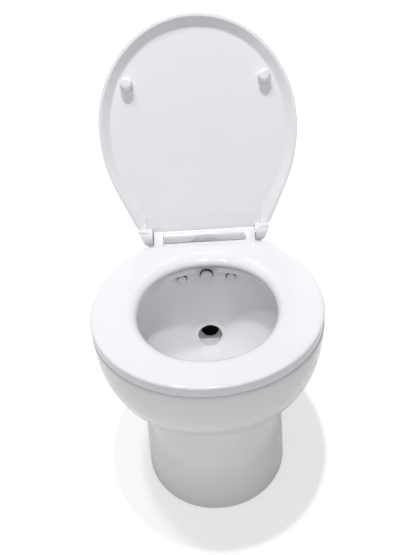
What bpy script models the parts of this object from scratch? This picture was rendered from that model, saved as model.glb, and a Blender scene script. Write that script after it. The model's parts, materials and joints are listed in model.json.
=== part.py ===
"""Compact electric marine toilet: a one-piece china bowl and pedestal with seat, lid, spray nozzles,
solenoid water valve and a macerator pump that hangs under the bowl's outlet.

Metres, +Z up, the bowl's front faces -Y. The floor is z = 0. While it is built, y = 0 is the seat's
hinge axis, and a distance v forward of that axis is y = -v. At the end the whole toilet is moved so
that its origin lies on the floor under the middle of its box.
"""

import math

import bmesh
import bpy
from mathutils import Matrix, Vector

# Clearances that every piece shares
TOUCH = 0.0003
RUNNING = 0.0003
OVERRUN = 0.004

# China: heights
CHINA_HEIGHT = 0.321
PEDESTAL_HEIGHT = 0.190
CHINA_WALL = 0.009
RIM_SLAB = 0.015
RIM_ROUND = 0.004
FOOT_ROUND = 0.0015

# China: plan sizes, as distances forward of the hinge axis and half widths
REAR_REACH = 0.045
RIM_HALF = 0.1815
RIM_MIDDLE = 0.1906
RIM_FRONT = 0.383
RIM_BACK = 0.2129
RIM_REAR_HALF = 0.104
FOOT_HALF = 0.128
FOOT_MIDDLE = 0.2134
WAIST_HALF = 0.1155
WAIST_MIDDLE = 0.2203
PEDESTAL_BACK = 0.8
PEDESTAL_REAR_SHARE = 0.955
REAR_CORNER = 0.020
OUTLINE_POWER = 2.04
STRAIGHT_SHARE = 1.004
BOWL_SWELL_POWER = 3.85
BOWL_TUCK_POWER = 1.27
BOWL_RING_SHARES = (0.07, 0.18, 0.32, 0.48, 0.64, 0.79, 0.91)

# China: the opening in the rim and the basin below it
OPENING_HALF = 0.115
OPENING_FRONT = 0.339
OPENING_REAR = 0.0725
BASIN_HALF = 0.128
BASIN_FRONT = 0.347
BASIN_REAR = 0.056
BASIN_FLOOR = 0.148
BASIN_POWER = 2.2
SUMP_MIDDLE = 0.104
BASIN_SHARES = (
    # depth, half width, reach to the front, reach to the rear
    (0.0, 1.0, 1.0, 1.0),
    (0.165, 0.988, 0.979, 0.99),
    (0.323, 0.945, 0.93, 0.96),
    (0.481, 0.86, 0.84, 0.92),
    (0.639, 0.735, 0.712, 0.855),
    (0.766, 0.594, 0.56, 0.79),
    (0.873, 0.43, 0.387, 0.71),
    (0.956, 0.266, 0.21, 0.58),
    (1.0, 0.14, 0.087, 0.44),
)

# China: the throat that runs back from the basin, and the drop into the pump
THROAT_HALF = 0.025
THROAT_ABOVE = 0.0176
THROAT_BELOW = 0.014
THROAT_SINK = 0.0008
DROP_RISE = 0.0043
DROP_LEAD = 0.0023
THROAT_MOUTH = 0.098
DROP_RADIUS = 0.019
DROP_FORWARD = 0.037
OUTLET_WALL = 0.008
OUTLET_HEIGHT = 0.112

# China: openings for the pipes and fixings
REAR_OPENING_HALF = 0.085
REAR_OPENING_HEIGHT = 0.250
REAR_OPENING_ROUND = 0.030
NOTCH_HALF = 0.0198
NOTCH_ROOF = 0.003

# Seat
SEAT_WIDER_BEHIND = 0.020
SEAT_HALF = 0.180
SEAT_MIDDLE = RIM_MIDDLE
SEAT_FRONT = 0.3836
SEAT_BACK = RIM_BACK
SEAT_REAR_HALF = RIM_REAR_HALF + SEAT_WIDER_BEHIND
SEAT_REAR = 0.020
SEAT_CORNER = 0.009
SEAT_THICKNESS = 0.0158
SEAT_EDGE_ROUND = 0.004
SEAT_FOOT_ROUND = 0.0016
SEAT_LIP_DROP = 0.0125
SEAT_STRIP_GAP = 0.002
SEAT_STRIP_STEP = 0.001
SEAT_HOLE_HALF = 0.1085
SEAT_HOLE_FRONT = 0.333
SEAT_HOLE_REAR = 0.078
SEAT_CREST_HALF = 0.122
SEAT_CREST_FRONT = 0.350
SEAT_CREST_REAR = 0.052
SEAT_HOLE_POWER = 2.1
SEAT_BUFFER_HEIGHT = 0.0032
SEAT_BUFFER_LENGTH = 0.030
SEAT_BUFFER_WIDTH = 0.012
SEAT_BUFFER_STEM = 0.003
SEAT_BUFFER_STEM_DEPTH = 0.005
SEAT_BUFFER_REAR_INSET = 0.034
SEAT_BUFFER_REAR_FORWARD = 0.120
SEAT_BUFFER_FRONT_INSET = 0.062
SEAT_BUFFER_FRONT_FORWARD = 0.305

# Lid
LID_OVERHANG = 0.0015
LID_REAR = 0.0135
LID_RIM_DROP = 0.0055
LID_TONGUE_REAR = 0.0088
LID_LEAN = 19.8
LID_LIP = 0.0065
LID_WALL_RUN = 0.0145
LID_RECESS = 0.0095
LID_SKIN = 0.0045
LID_EDGE_DEPTH = 0.009
LID_CROWN = 0.006
LID_ROUND = 0.0015
LID_BUFFER_RADIUS = 0.0115
LID_BUFFER_INSET = 0.0564
LID_BUFFER_FORWARD = 0.2775
LID_BUFFER_POCKET = 0.0012
LID_BUFFER_DOME = 0.0035

# Hinge
HINGE_RISE = 0.028
BAR_HALF = 0.0765
BAR_DEPTH = 0.017
BAR_HEIGHT = 0.0175
BAR_ROUND = 0.004
BAR_FOOT_ROUND = 0.0015
BAR_END_ROUND = 0.001
BAR_DROP = 0.00275
BAR_FOOT_RADIUS = 0.0083
EAR_GAP = 0.002
EAR_WIDTH = 0.018
EAR_RADIUS = 0.0078
EAR_ROOT = 0.006
KNUCKLE_WIDTH = 0.026
KNUCKLE_RADIUS = 0.016
KNUCKLE_ROOT = 0.0055
KNUCKLE_ROUND = 0.003
PIN_RADIUS = 0.003
PIN_BAR_GRIP = 0.020
PIN_END_WALL = 0.005
DAMPER_RADIUS = 0.0085
DAMPER_LENGTH = 0.014
KNUCKLE_SLOPE = 0.45
STUD_HALF_SPACING = 0.060
STUD_RADIUS = 0.004
STUD_HOLE = 0.0055
STUD_HEAD_RADIUS = 0.0065
STUD_HEAD = 0.003
STUD_BELOW = 0.028
NUT_RADIUS = 0.008
NUT_HEIGHT = 0.009
NUT_FLANGE_RADIUS = 0.013
NUT_FLANGE = 0.003
WING_SPAN = 0.017
WING_HEIGHT = 0.012
WING_THICKNESS = 0.003

# Release key in the thumb recess of the hinge bar
THUMB_TOP_HALF = 0.016
THUMB_FOOT_HALF = 0.031
THUMB_HEIGHT = 0.0115
THUMB_DEPTH = 0.0035
BUTTON_HALF = 0.015
BUTTON_SET_BACK = 0.0008
BUTTON_DEPTH = 0.0077
BUTTON_HEIGHT = 0.0115
BUTTON_RISE = 0.0005
BUTTON_TRAVEL = 0.0025
BUTTON_ROUND = 0.0006
BUTTON_CLEAR = 0.0004
BUTTON_SPRING_RADIUS = 0.0014
BUTTON_SPRING_WIRE = 0.0003
BUTTON_SPRING_TURNS = 4
BUTTON_BORE = 0.0020
BUTTON_BORE_DEPTH = 0.0035

# Spray nozzles and their manifold behind the basin's rear wall
SPRAY_BELOW_RIM = 0.0265
SPRAY_SPACING = 0.045
SPRAY_CLEAR = 0.001
MANIFOLD_BEHIND = 0.025
MANIFOLD_RADIUS = 0.009
MANIFOLD_BORE = 0.006
MANIFOLD_END = 0.012
SPIGOT_RADIUS = 0.006
SPIGOT_BORE = 0.004
SPIGOT_REACH = 0.0045
SPRAY_HEAD_RADIUS = 0.0118
SPRAY_HEAD_DEPTH = 0.0045
SPRAY_NECK_RADIUS = 0.0085
SPRAY_NECK_LENGTH = 0.006
JET_RADIUS = 0.0085
JET_DEPTH = 0.004
JET_NECK_RADIUS = 0.0075
BARB_RADIUS = 0.0065
BARB_BORE = 0.0045
BARB_LENGTH = 0.020
HOSE_WALL = 0.0028
HOSE_CLEAR = 0.0005
CLAMP_WALL = 0.0012
CLAMP_WIDTH = 0.008
CLAMP_SCREW = 0.0035

# Solenoid water valve
VALVE_X = -0.062
VALVE_Y = 0.005
VALVE_BELOW_MANIFOLD = 0.1345
VALVE_RADIUS = 0.014
VALVE_HEIGHT = 0.0265
VALVE_WALL = 0.0025
VALVE_INLET_RADIUS = 0.0125
VALVE_INLET_BORE = 0.009
VALVE_INLET_REACH = 0.060
VALVE_COLLAR_RADIUS = 0.017
VALVE_COLLAR = 0.003
GUIDE_RADIUS = 0.0065
GUIDE_WALL = 0.001
GUIDE_LENGTH = 0.034
GUIDE_CAP = 0.003
PLUNGER_RADIUS = 0.0050
PLUNGER_LENGTH = 0.018
PLUNGER_TRAVEL = 0.003
COIL_WIDTH = 0.028
COIL_HEIGHT = 0.026
COIL_ROUND = 0.003
COIL_TAB = 0.0063
COIL_TAB_LENGTH = 0.008
COIL_TAB_THICKNESS = 0.0008
DIAPHRAGM_THICKNESS = 0.0025

# Macerator pump: its shaft runs along X under the china's outlet
PUMP_HEIGHT = 0.060
CHAMBER_RADIUS = 0.037
HOUSING_WALL = 0.009
CHAMBER_LEFT = 0.036
CHAMBER_RIGHT = 0.038
OUTLET_SIDE = 0.022
HOUSING_BACK = 0.006
COVER_THICKNESS = 0.006
RING_WALL = 0.004
RING_LIP = 0.003
RING_GRIPS = 8
RING_GRIP = 0.0015
COVER_SEAL_WIDTH = 0.0018
INLET_NECK_RADIUS = 0.0245
INLET_NECK_BORE = 0.0185
INLET_GASKET = 0.0035
GASKET_SLEEVE = 0.030
GASKET_WALL = 0.0022
OUTLET_NECK_RADIUS = 0.021
OUTLET_BORE = 0.012
OUTLET_SOCKET = 0.016
OUTLET_SOCKET_DEPTH = 0.012
OUTLET_REACH = 0.008
JOKER_FLANGE = 0.002
JOKER_LENGTH = 0.024
JOKER_WALL = 0.0018
JOKER_TIP = 0.004
SPOUT_COLLAR = 0.006
SPOUT_LENGTH = 0.048
SPOUT_WALL = 0.003
SPOUT_BARB = 0.0015
SPOUT_BARBS = 3
FOOT_PAD_HEIGHT = 0.008
FOOT_HALF_WIDTH = 0.038
FOOT_PLATE = 0.006

# Pump rotor
SHAFT_RADIUS = 0.004
SHAFT_OVERHANG = 0.0035
IMPELLER_RADIUS = 0.034
IMPELLER_LENGTH = 0.015
IMPELLER_HUB = 0.010
IMPELLER_VANES = 6
VANE_THICKNESS = 0.0028
IMPELLER_BEHIND = 0.003
CUTTER_RADIUS = 0.033
CUTTER_WIDTH = 0.012
CUTTER_THICKNESS = 0.003
CUTTER_HUB = 0.009
GRID_THICKNESS = 0.003
GRID_CLEAR = 0.002
GRID_SLOTS = 8
GRID_SLOT_WIDTH = 0.006
GRID_SLOT_INNER = 0.013
GRID_SLOT_OUTER = 0.031

# Motor
MOTOR_RADIUS = 0.034
MOTOR_FLANGE = 0.007
MOTOR_FLANGE_RADIUS = 0.040
MOTOR_CAN_LENGTH = 0.042
MOTOR_CAN_WALL = 0.002
MOTOR_BELL = 0.0145
MOTOR_BELL_WALL = 0.003
BEARING_RADIUS = 0.009
BEARING_WIDTH = 0.005
SEAL_RADIUS = 0.0095
CORE_RADIUS = 0.021
CORE_LENGTH = 0.022
COMMUTATOR_RADIUS = 0.010
COMMUTATOR_LENGTH = 0.006
MAGNET_THICKNESS = 0.007
GLAND_RADIUS = 0.006
GLAND_LENGTH = 0.014
GLAND_BORE = 0.003
GLAND_NUT = 0.0078

# Base plate, valve bracket and floor fixings
PLATE_THICKNESS = 0.003
PLATE_MARGIN = 0.006
UPRIGHT_THICKNESS = 0.0025
UPRIGHT_HALF = 0.018
UPRIGHT_FORWARD = 0.0285
FIXING_FORWARD = 0.110
FIXING_HEIGHT = 0.028
FIXING_HOLE = 0.004
FIXING_SCREW = 0.0028
FIXING_SCREW_LENGTH = 0.022
FIXING_HEAD_RADIUS = 0.0058
FIXING_HEAD = 0.002
CAP_RADIUS = 0.0085
CAP_THICKNESS = 0.0030
CAP_SEAT = 0.0045
CAP_ROUND = 0.001
BRACKET_WIDTH = 0.030
BRACKET_HEIGHT = 0.042
BRACKET_FOOT = 0.028
BRACKET_THICKNESS = 0.004

# Facets
FRONT_STEPS = 11
BACK_STEPS = 5
SIDE_STEPS = 2
CORNER_STEPS = 3
REAR_STEPS = 3
FINE = 28
ROUND = 20
SMALL = 16
SIDES = ((-1, "left"), (1, "right"))

# Places that follow from the sizes above
SEAT_UNDER = CHINA_HEIGHT + SEAT_BUFFER_HEIGHT
SEAT_TOP = SEAT_UNDER + SEAT_THICKNESS
HINGE_HEIGHT = CHINA_HEIGHT + HINGE_RISE
LID_BUFFER_HALF_SPACING = SEAT_HALF - LID_BUFFER_INSET
BASIN_TOP = CHINA_HEIGHT - RIM_SLAB
BASIN_DEPTH = BASIN_TOP - BASIN_FLOOR
THROAT_HEIGHT = BASIN_FLOOR + THROAT_BELOW - THROAT_SINK
DECK_UNDER = CHINA_HEIGHT - RIM_SLAB
SPRAY_HEIGHT = CHINA_HEIGHT - SPRAY_BELOW_RIM
VALVE_Z = SPRAY_HEIGHT - VALVE_BELOW_MANIFOLD
DECK_REAR_INSIDE = REAR_REACH - CHINA_WALL
EAR_INNER = BAR_HALF + EAR_GAP
KNUCKLE_INNER = EAR_INNER + EAR_WIDTH + EAR_GAP
HOUSING_RADIUS = CHAMBER_RADIUS + HOUSING_WALL
HOUSING_RIGHT = CHAMBER_RIGHT + HOUSING_BACK
NECK_TOP = OUTLET_HEIGHT - INLET_GASKET
OUTLET_FACE = HOUSING_RADIUS + OUTLET_REACH
MOTOR_LEFT = HOUSING_RIGHT + TOUCH
CAN_LEFT = MOTOR_LEFT + MOTOR_FLANGE + TOUCH
CAN_RIGHT = CAN_LEFT + MOTOR_CAN_LENGTH
BELL_RIGHT = CAN_RIGHT + TOUCH + MOTOR_BELL
PUMP_CENTRE = Vector((0.0, -DROP_FORWARD, PUMP_HEIGHT))
PUMP_BOTTOM = PUMP_HEIGHT - HOUSING_RADIUS
LID_CLOSED_TURN = 90.0 + LID_LEAN

X = Vector((1.0, 0.0, 0.0))
Y = Vector((0.0, 1.0, 0.0))
Z = Vector((0.0, 0.0, 1.0))


# The scene: one collection for the toilet, one for the cutters, one empty for each moving body
def clear_scene():
    for item in list(bpy.data.objects):
        bpy.data.objects.remove(item, do_unlink=True)


def new_collection(name):
    collection = bpy.data.collections.new(name)
    bpy.context.scene.collection.children.link(collection)
    return collection


def new_body(name, location=(0.0, 0.0, 0.0), turn=0.0, parent=None):
    body = bpy.data.objects.new(name, None)
    PARTS.objects.link(body)
    body.location = location
    body.rotation_euler = (turn, 0.0, 0.0)
    body.parent = parent
    return body


def material(name, colour, roughness, metallic=0.0):
    made = bpy.data.materials.new(name)
    made.use_nodes = True
    shader = made.node_tree.nodes["Principled BSDF"]
    shader.inputs["Base Color"].default_value = (*colour, 1.0)
    shader.inputs["Roughness"].default_value = roughness
    shader.inputs["Metallic"].default_value = metallic
    return made


def add(name, mesh, body, finish=None, smooth_angle=35.0):
    """Puts a mesh in the toilet as a piece, or in the cutters when it has no finish."""
    item = bpy.data.objects.new(name, mesh)
    item.parent = body
    if finish:
        PARTS.objects.link(item)
        mesh.materials.append(material(name, *finish))
        mesh.shade_smooth()
        mesh.set_sharp_from_angle(angle=math.radians(smooth_angle))
    else:
        CUTTERS.objects.link(item)
        item.hide_render = True
        item.display_type = "WIRE"
    return item


def mesh_from(name, build):
    mesh = bpy.data.meshes.new(name)
    shape = bmesh.new()
    build(shape)
    shape.to_mesh(mesh)
    shape.free()
    return mesh


# Shapes
def block(name, low, high, body, finish=None, bevel=0.0, segments=2):
    """A box between two corners, with its edges rounded where bevel is given."""
    low, high = Vector(low), Vector(high)
    size = Matrix.Diagonal((*(high - low), 1.0))

    def build(shape):
        bmesh.ops.create_cube(shape, size=1.0, matrix=Matrix.Translation((low + high) / 2) @ size)

    item = add(name, mesh_from(name, build), body, finish)
    if bevel:
        rounded = item.modifiers.new("rounded", "BEVEL")
        rounded.width = bevel
        rounded.segments = segments
        rounded.limit_method = "ANGLE"
    return item


def add_rod(shape, radius, start, end, sides):
    start, end = Vector(start), Vector(end)
    turn = Z.rotation_difference(end - start).to_matrix().to_4x4()
    bmesh.ops.create_cone(
        shape, cap_ends=True, segments=sides, radius1=radius, radius2=radius,
        depth=(end - start).length, matrix=Matrix.Translation((start + end) / 2) @ turn,
    )


def rods(name, radius, ends, body, finish=None, sides=ROUND):
    """One or more like cylinders, each between two points, as one piece."""

    def build(shape):
        for start, end in ends:
            add_rod(shape, radius, start, end, sides)

    return add(name, mesh_from(name, build), body, finish)


def turned(name, profile, body, finish=None, at=(0.0, 0.0, 0.0), along=Z, bored=False, sides=ROUND):
    """A profile of (radius, distance along the axis), listed from the far end back, spun about its axis."""
    mesh = bpy.data.meshes.new(name)
    points = [(radius, 0.0, height) for radius, height in profile]
    edges = [(i, i + 1) for i in range(len(points) - 1)]
    if bored:
        edges.append((len(points) - 1, 0))
    mesh.from_pydata(points, edges, [])
    item = add(name, mesh, body, finish)
    item.location = at
    item.rotation_mode = "QUATERNION"
    item.rotation_quaternion = Z.rotation_difference(Vector(along))
    spin = item.modifiers.new("turned", "SCREW")
    spin.steps = sides
    spin.render_steps = sides
    spin.use_merge_vertices = True
    spin.merge_threshold = 0.00001
    spin.use_smooth_shade = True
    return item


def ring_profile(inner, outer, near, far):
    return [(inner, far), (outer, far), (outer, near), (inner, near)]


def disc_profile(radius, near, far, edge=0.0):
    """A solid disc from near to far, with its far edge rounded by a small chamfer."""
    if not edge:
        return [(0.0, far), (radius, far), (radius, near), (0.0, near)]
    return [(0.0, far), (radius - edge, far), (radius, far - edge), (radius, near), (0.0, near)]


def loft(name, rings, body, finish=None, around=False):
    """A skin over rings of equal point counts: capped at both ends, or closed around."""

    def build(shape):
        made = [[shape.verts.new(p) for p in ring] for ring in rings]
        count = len(made[0])
        pairs = list(zip(made, made[1:]))
        if around:
            pairs.append((made[-1], made[0]))
        for lower, upper in pairs:
            for i in range(count):
                j = (i + 1) % count
                shape.faces.new((lower[i], lower[j], upper[j], upper[i]))
        if not around:
            for ring, point in ((made[0], middle_of(rings[0])), (made[-1], middle_of(rings[-1]))):
                centre = shape.verts.new(point)
                for i in range(count):
                    shape.faces.new((ring[i], ring[(i + 1) % count], centre))
        bmesh.ops.recalc_face_normals(shape, faces=shape.faces)

    return add(name, mesh_from(name, build), body, finish)


def middle_of(points):
    return sum((Vector(p) for p in points), Vector()) / len(points)


def web(name, radius, start, end, low, high, body):
    """The hull round a barrel and a box: the web that joins a hinge barrel to its panel."""

    def build(shape):
        add_rod(shape, radius, start, end, ROUND)
        corners = [(x, y, z) for x in (low[0], high[0]) for y in (low[1], high[1])
                   for z in (low[2], high[2])]
        points = list(shape.verts) + [shape.verts.new(c) for c in corners]
        hull = bmesh.ops.convex_hull(shape, input=points)
        loose = [g for g in hull["geom_interior"] + hull["geom_unused"]
                 if isinstance(g, bmesh.types.BMVert)]
        bmesh.ops.delete(shape, geom=list(set(loose)), context="VERTS")
        kept = set(g for g in hull["geom"] if isinstance(g, bmesh.types.BMFace))
        bmesh.ops.delete(shape, geom=[f for f in shape.faces if f not in kept], context="FACES_ONLY")
        bmesh.ops.recalc_face_normals(shape, faces=shape.faces)

    return add(name, mesh_from(name, build), body)


def tube_mesh(name, points, radius, resolution=2):
    """A round tube along points, as a closed mesh."""
    curve = bpy.data.curves.new(name, "CURVE")
    curve.dimensions = "3D"
    curve.bevel_depth = radius
    curve.bevel_resolution = resolution
    curve.use_fill_caps = True
    line = curve.splines.new("POLY")
    line.points.add(len(points) - 1)
    for place, point in zip(line.points, points):
        place.co = (*point, 1.0)
    guide = bpy.data.objects.new(name, curve)
    CUTTERS.objects.link(guide)
    evaluated = guide.evaluated_get(bpy.context.evaluated_depsgraph_get())
    mesh = bpy.data.meshes.new_from_object(evaluated)
    bpy.data.objects.remove(guide, do_unlink=True)
    shape = bmesh.new()
    shape.from_mesh(mesh)
    bmesh.ops.remove_doubles(shape, verts=shape.verts, dist=0.00001)
    bmesh.ops.recalc_face_normals(shape, faces=shape.faces)
    shape.to_mesh(mesh)
    shape.free()
    mesh.name = name
    return mesh


def combine(item, operation, tools):
    for tool in tools:
        step = item.modifiers.new(tool.name, "BOOLEAN")
        step.operation = operation
        step.object = tool
        step.solver = "EXACT"
    return item


def cut(item, *tools):
    return combine(item, "DIFFERENCE", tools)


def join(item, *tools):
    return combine(item, "UNION", tools)


def both_sides(x):
    return (-x, x)


def blend(a, b, share):
    return a + (b - a) * share


# Outlines in plan: lists of (u, v), u to the side and v forward of the hinge axis
def outline(half, middle, front, back, rear_half, rear, corner, power=OUTLINE_POWER, inset=0.0):
    """A closed outline: round at the front, tapering in straight lines to a flat rear edge."""
    half, front, back = half - inset, front - middle - inset, back - inset
    rear_half, rear = rear_half - inset, rear + inset
    along = (middle - rear) / back
    if along < 1:
        rear_half = max(rear_half, half * math.sqrt(1 - along ** 2) * STRAIGHT_SHARE)
    across = rear_half / half
    reach = math.hypot(across, along)
    start = math.atan2(along, across) - math.acos(min(1.0, 1.0 / reach))
    tangent = Vector((half * math.cos(start), middle - back * math.sin(start)))
    rear_corner = Vector((rear_half, rear))
    side = (tangent - rear_corner).normalized()
    cut_back = max(corner - inset, corner / 3)
    corner_start = rear_corner + side * cut_back
    corner_end = rear_corner - Vector((cut_back, 0.0))

    right = []
    for i in range(FRONT_STEPS + 1):
        angle = math.radians(90.0) * (1 - i / FRONT_STEPS)
        u = half * math.cos(angle) ** (2 / power) if i else 0.0
        right.append(Vector((u, middle + front * math.sin(angle) ** (2 / power))))
    for i in range(1, BACK_STEPS + 1):
        angle = start * i / BACK_STEPS
        right.append(Vector((half * math.cos(angle), middle - back * math.sin(angle))))
    for i in range(1, SIDE_STEPS + 1):
        right.append(tangent.lerp(corner_start, i / SIDE_STEPS))
    for i in range(1, CORNER_STEPS + 1):
        share = i / CORNER_STEPS
        first = corner_start.lerp(rear_corner, share)
        right.append(first.lerp(rear_corner.lerp(corner_end, share), share))
    for i in range(1, REAR_STEPS + 1):
        right.append(corner_end.lerp(Vector((0.0, rear)), i / REAR_STEPS))
    left = [Vector((-p.x, p.y)) for p in reversed(right[1:-1])]
    return right + left


def egg(half, front, rear, guide, power=2.0, grow=0.0):
    """An egg-shaped outline with one point in the direction of each point of the guide outline."""
    middle = (front + rear) / 2
    length = (front - rear) / 2 + grow
    half = half + grow
    points = []
    for p in guide:
        away = Vector((p.x, p.y - middle)).normalized()
        size = (abs(away.x) / half) ** power + (abs(away.y) / length) ** power
        points.append(Vector((0.0, middle)) + away * size ** (-1 / power))
    return points


def between(first, second, share):
    return [a.lerp(b, share) for a, b in zip(first, second)]


def at_height(points, z):
    return [Vector((p.x, -p.y, z)) for p in points]


def seat_outline(inset=0.0):
    return outline(
        SEAT_HALF, SEAT_MIDDLE, SEAT_FRONT, SEAT_BACK, SEAT_REAR_HALF, SEAT_REAR, SEAT_CORNER, inset=inset
    )


def lid_outline(inset=0.0):
    return outline(
        SEAT_HALF, SEAT_MIDDLE, SEAT_FRONT, SEAT_BACK, SEAT_REAR_HALF, LID_REAR + LID_OVERHANG,
        SEAT_CORNER, inset=inset - LID_OVERHANG,
    )


def china_outline(z, inset=0.0):
    """The outside of the china at a height: the pedestal, then the bowl that swells out of it."""
    if z <= PEDESTAL_HEIGHT:
        share = z / PEDESTAL_HEIGHT
        half, middle = blend(FOOT_HALF, WAIST_HALF, share), blend(FOOT_MIDDLE, WAIST_MIDDLE, share)
        return outline(
            half, middle, middle + half, PEDESTAL_BACK, half * PEDESTAL_REAR_SHARE, -REAR_REACH,
            REAR_CORNER, inset=inset,
        )
    down = (CHINA_HEIGHT - z) / (CHINA_HEIGHT - PEDESTAL_HEIGHT)
    swell = (1 - down ** BOWL_SWELL_POWER) ** BOWL_TUCK_POWER
    back = 1 / blend(1 / PEDESTAL_BACK, 1 / RIM_BACK, swell)
    return outline(
        blend(WAIST_HALF, RIM_HALF, swell), blend(WAIST_MIDDLE, RIM_MIDDLE, swell),
        blend(WAIST_MIDDLE + WAIST_HALF, RIM_FRONT, swell), back,
        blend(WAIST_HALF * PEDESTAL_REAR_SHARE, RIM_REAR_HALF, swell), -REAR_REACH, REAR_CORNER,
        inset=inset,
    )


# China
def china_heights():
    """Heights of the rings of the china's outside, from the floor to just under the rim's round."""
    swell = [blend(PEDESTAL_HEIGHT, CHINA_HEIGHT - RIM_ROUND, share) for share in BOWL_RING_SHARES]
    return [FOOT_ROUND, PEDESTAL_HEIGHT] + swell + [CHINA_HEIGHT - RIM_ROUND]


def china_outside():
    rings = [at_height(china_outline(0.0, inset=FOOT_ROUND), 0.0)]
    rings += [at_height(china_outline(z), z) for z in china_heights()]
    for share in (0.5, 1.0):
        turn = math.radians(90.0) * share
        z = CHINA_HEIGHT - RIM_ROUND * (1 - math.sin(turn))
        rings.append(at_height(china_outline(z, inset=RIM_ROUND * (1 - math.cos(turn))), z))
    return rings


def basin_rings(guide, grow=0.0):
    rings = []
    if grow:
        top = egg(BASIN_HALF, BASIN_FRONT, BASIN_REAR, guide, BASIN_POWER, grow)
        rings.append(at_height(top, DECK_UNDER + OVERRUN))
    for depth, width, front, rear in BASIN_SHARES:
        ahead = blend(SUMP_MIDDLE, BASIN_FRONT, front)
        behind = blend(SUMP_MIDDLE, BASIN_REAR, rear)
        shape = egg(BASIN_HALF * width, ahead, behind, guide, BASIN_POWER, grow)
        rings.append(at_height(shape, BASIN_TOP - BASIN_DEPTH * depth - grow * depth ** 2))
    return rings


def throat_rings(grow=0.0):
    """Rings of the duct from the basin back to above the drop: round above, flatter below."""
    rings = []
    ahead, behind = THROAT_MOUTH, DROP_FORWARD - DROP_RADIUS / 2 - grow
    middle = DROP_FORWARD + DROP_RADIUS + DROP_LEAD
    for v, width in ((ahead, THROAT_HALF), (middle, THROAT_HALF), (behind, DROP_RADIUS * 0.9)):
        ring = []
        for i in range(ROUND):
            angle = math.radians(360.0) * i / ROUND
            tall = THROAT_ABOVE if math.sin(angle) > 0 else THROAT_BELOW
            x = (width + grow) * math.cos(angle)
            ring.append(Vector((x, -v, THROAT_HEIGHT + (tall + grow) * math.sin(angle))))
        rings.append(ring)
    return rings


def china_cavity(guide):
    """The hollow under the china: the outside inset by the wall, less basin, duct and outlet."""
    heights = [-OVERRUN, FOOT_ROUND, PEDESTAL_HEIGHT]
    heights += [z for z in china_heights()[2:] if z < DECK_UNDER - RIM_ROUND] + [DECK_UNDER]
    rings = [at_height(china_outline(max(z, 0.0), inset=CHINA_WALL)[::2], z) for z in heights]
    cavity = loft("cavity", rings, ROOT)
    outlet = DROP_RADIUS + OUTLET_WALL
    drop = [((0.0, -DROP_FORWARD, OUTLET_HEIGHT), (0.0, -DROP_FORWARD,
                                                   THROAT_HEIGHT + DROP_RISE + CHINA_WALL))]
    return cut(
        cavity,
        loft("basin_shell", basin_rings(guide, CHINA_WALL), ROOT),
        loft("throat_shell", throat_rings(CHINA_WALL), ROOT),
        rods("outlet_shell", outlet, drop, ROOT, sides=FINE),
    )


def rim_opening(guide):
    rings = []
    slope = RIM_ROUND / 3
    for rise, grow in ((OVERRUN, RIM_ROUND + OVERRUN), (-slope, slope), (-RIM_ROUND, 0.0),
                       (-RIM_SLAB - OVERRUN, 0.0)):
        shape = egg(OPENING_HALF, OPENING_FRONT, OPENING_REAR, guide, BASIN_POWER, grow)
        rings.append(at_height(shape, CHINA_HEIGHT + rise))
    return loft("rim_opening", rings, ROOT)


def wall_x(forward, z):
    """Half width of the pedestal's straight side at a distance forward of the hinge axis."""
    half = blend(FOOT_HALF, WAIST_HALF, z / PEDESTAL_HEIGHT)
    middle = blend(FOOT_MIDDLE, WAIST_MIDDLE, z / PEDESTAL_HEIGHT)
    return half * math.sqrt(1 - ((middle - forward) / PEDESTAL_BACK) ** 2)


def cap_floor():
    return wall_x(FIXING_FORWARD, FIXING_HEIGHT) - CAP_SEAT


def ceramic_bowl():
    guide = seat_outline()
    bowl = loft("ceramic_bowl", china_outside(), ROOT, ((0.86, 0.87, 0.89), 0.08))
    spray_start, spray_end = -BASIN_REAR - 2 * CHINA_WALL, -BASIN_REAR + CHINA_WALL + OVERRUN
    notch = block(
        "notch", (-NOTCH_HALF, -OPENING_REAR - OVERRUN, BASIN_TOP - OVERRUN),
        (NOTCH_HALF, -BASIN_REAR - TOUCH, CHINA_HEIGHT - NOTCH_ROOF), ROOT,
    )
    drop = ((0.0, -DROP_FORWARD, OUTLET_HEIGHT - OVERRUN), (0.0, -DROP_FORWARD, THROAT_HEIGHT + DROP_RISE))
    side_start, side_end = wall_x(FIXING_FORWARD, FIXING_HEIGHT) - CHINA_WALL - OVERRUN, FOOT_HALF + OVERRUN
    side_holes = [
        ((s * side_start, -FIXING_FORWARD, FIXING_HEIGHT), (s * side_end, -FIXING_FORWARD, FIXING_HEIGHT))
        for s in (-1, 1)
    ]
    cap_seats = [
        ((s * cap_floor(), -FIXING_FORWARD, FIXING_HEIGHT), (s * side_end, -FIXING_FORWARD, FIXING_HEIGHT))
        for s in (-1, 1)
    ]
    rear_opening = block(
        "rear_opening", (-REAR_OPENING_HALF, DECK_REAR_INSIDE - OVERRUN, -REAR_OPENING_ROUND - OVERRUN),
        (REAR_OPENING_HALF, REAR_REACH + OVERRUN, REAR_OPENING_HEIGHT), ROOT,
    )
    round_upright_edges(rear_opening, REAR_OPENING_ROUND, 4, Y)
    return cut(
        bowl,
        china_cavity(guide),
        rim_opening(guide),
        loft("basin", basin_rings(guide), ROOT),
        loft("throat", throat_rings(), ROOT),
        rods("drop", DROP_RADIUS, [drop], ROOT, sides=FINE),
        notch,
        rods(
            "spray_holes", SPIGOT_RADIUS + TOUCH,
            [((x, spray_start, SPRAY_HEIGHT), (x, spray_end, SPRAY_HEIGHT)) for x in spray_places()],
            ROOT, sides=SMALL,
        ),
        rods(
            "stud_holes", STUD_HOLE,
            [((x, 0.0, DECK_UNDER - OVERRUN), (x, 0.0, CHINA_HEIGHT + OVERRUN))
             for x in both_sides(STUD_HALF_SPACING)],
            ROOT, sides=SMALL,
        ),
        rods("side_holes", FIXING_HOLE, side_holes, ROOT, sides=SMALL),
        rods("cap_seats", CAP_RADIUS + TOUCH, cap_seats, ROOT, sides=ROUND),
        rear_opening,
    )


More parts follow.
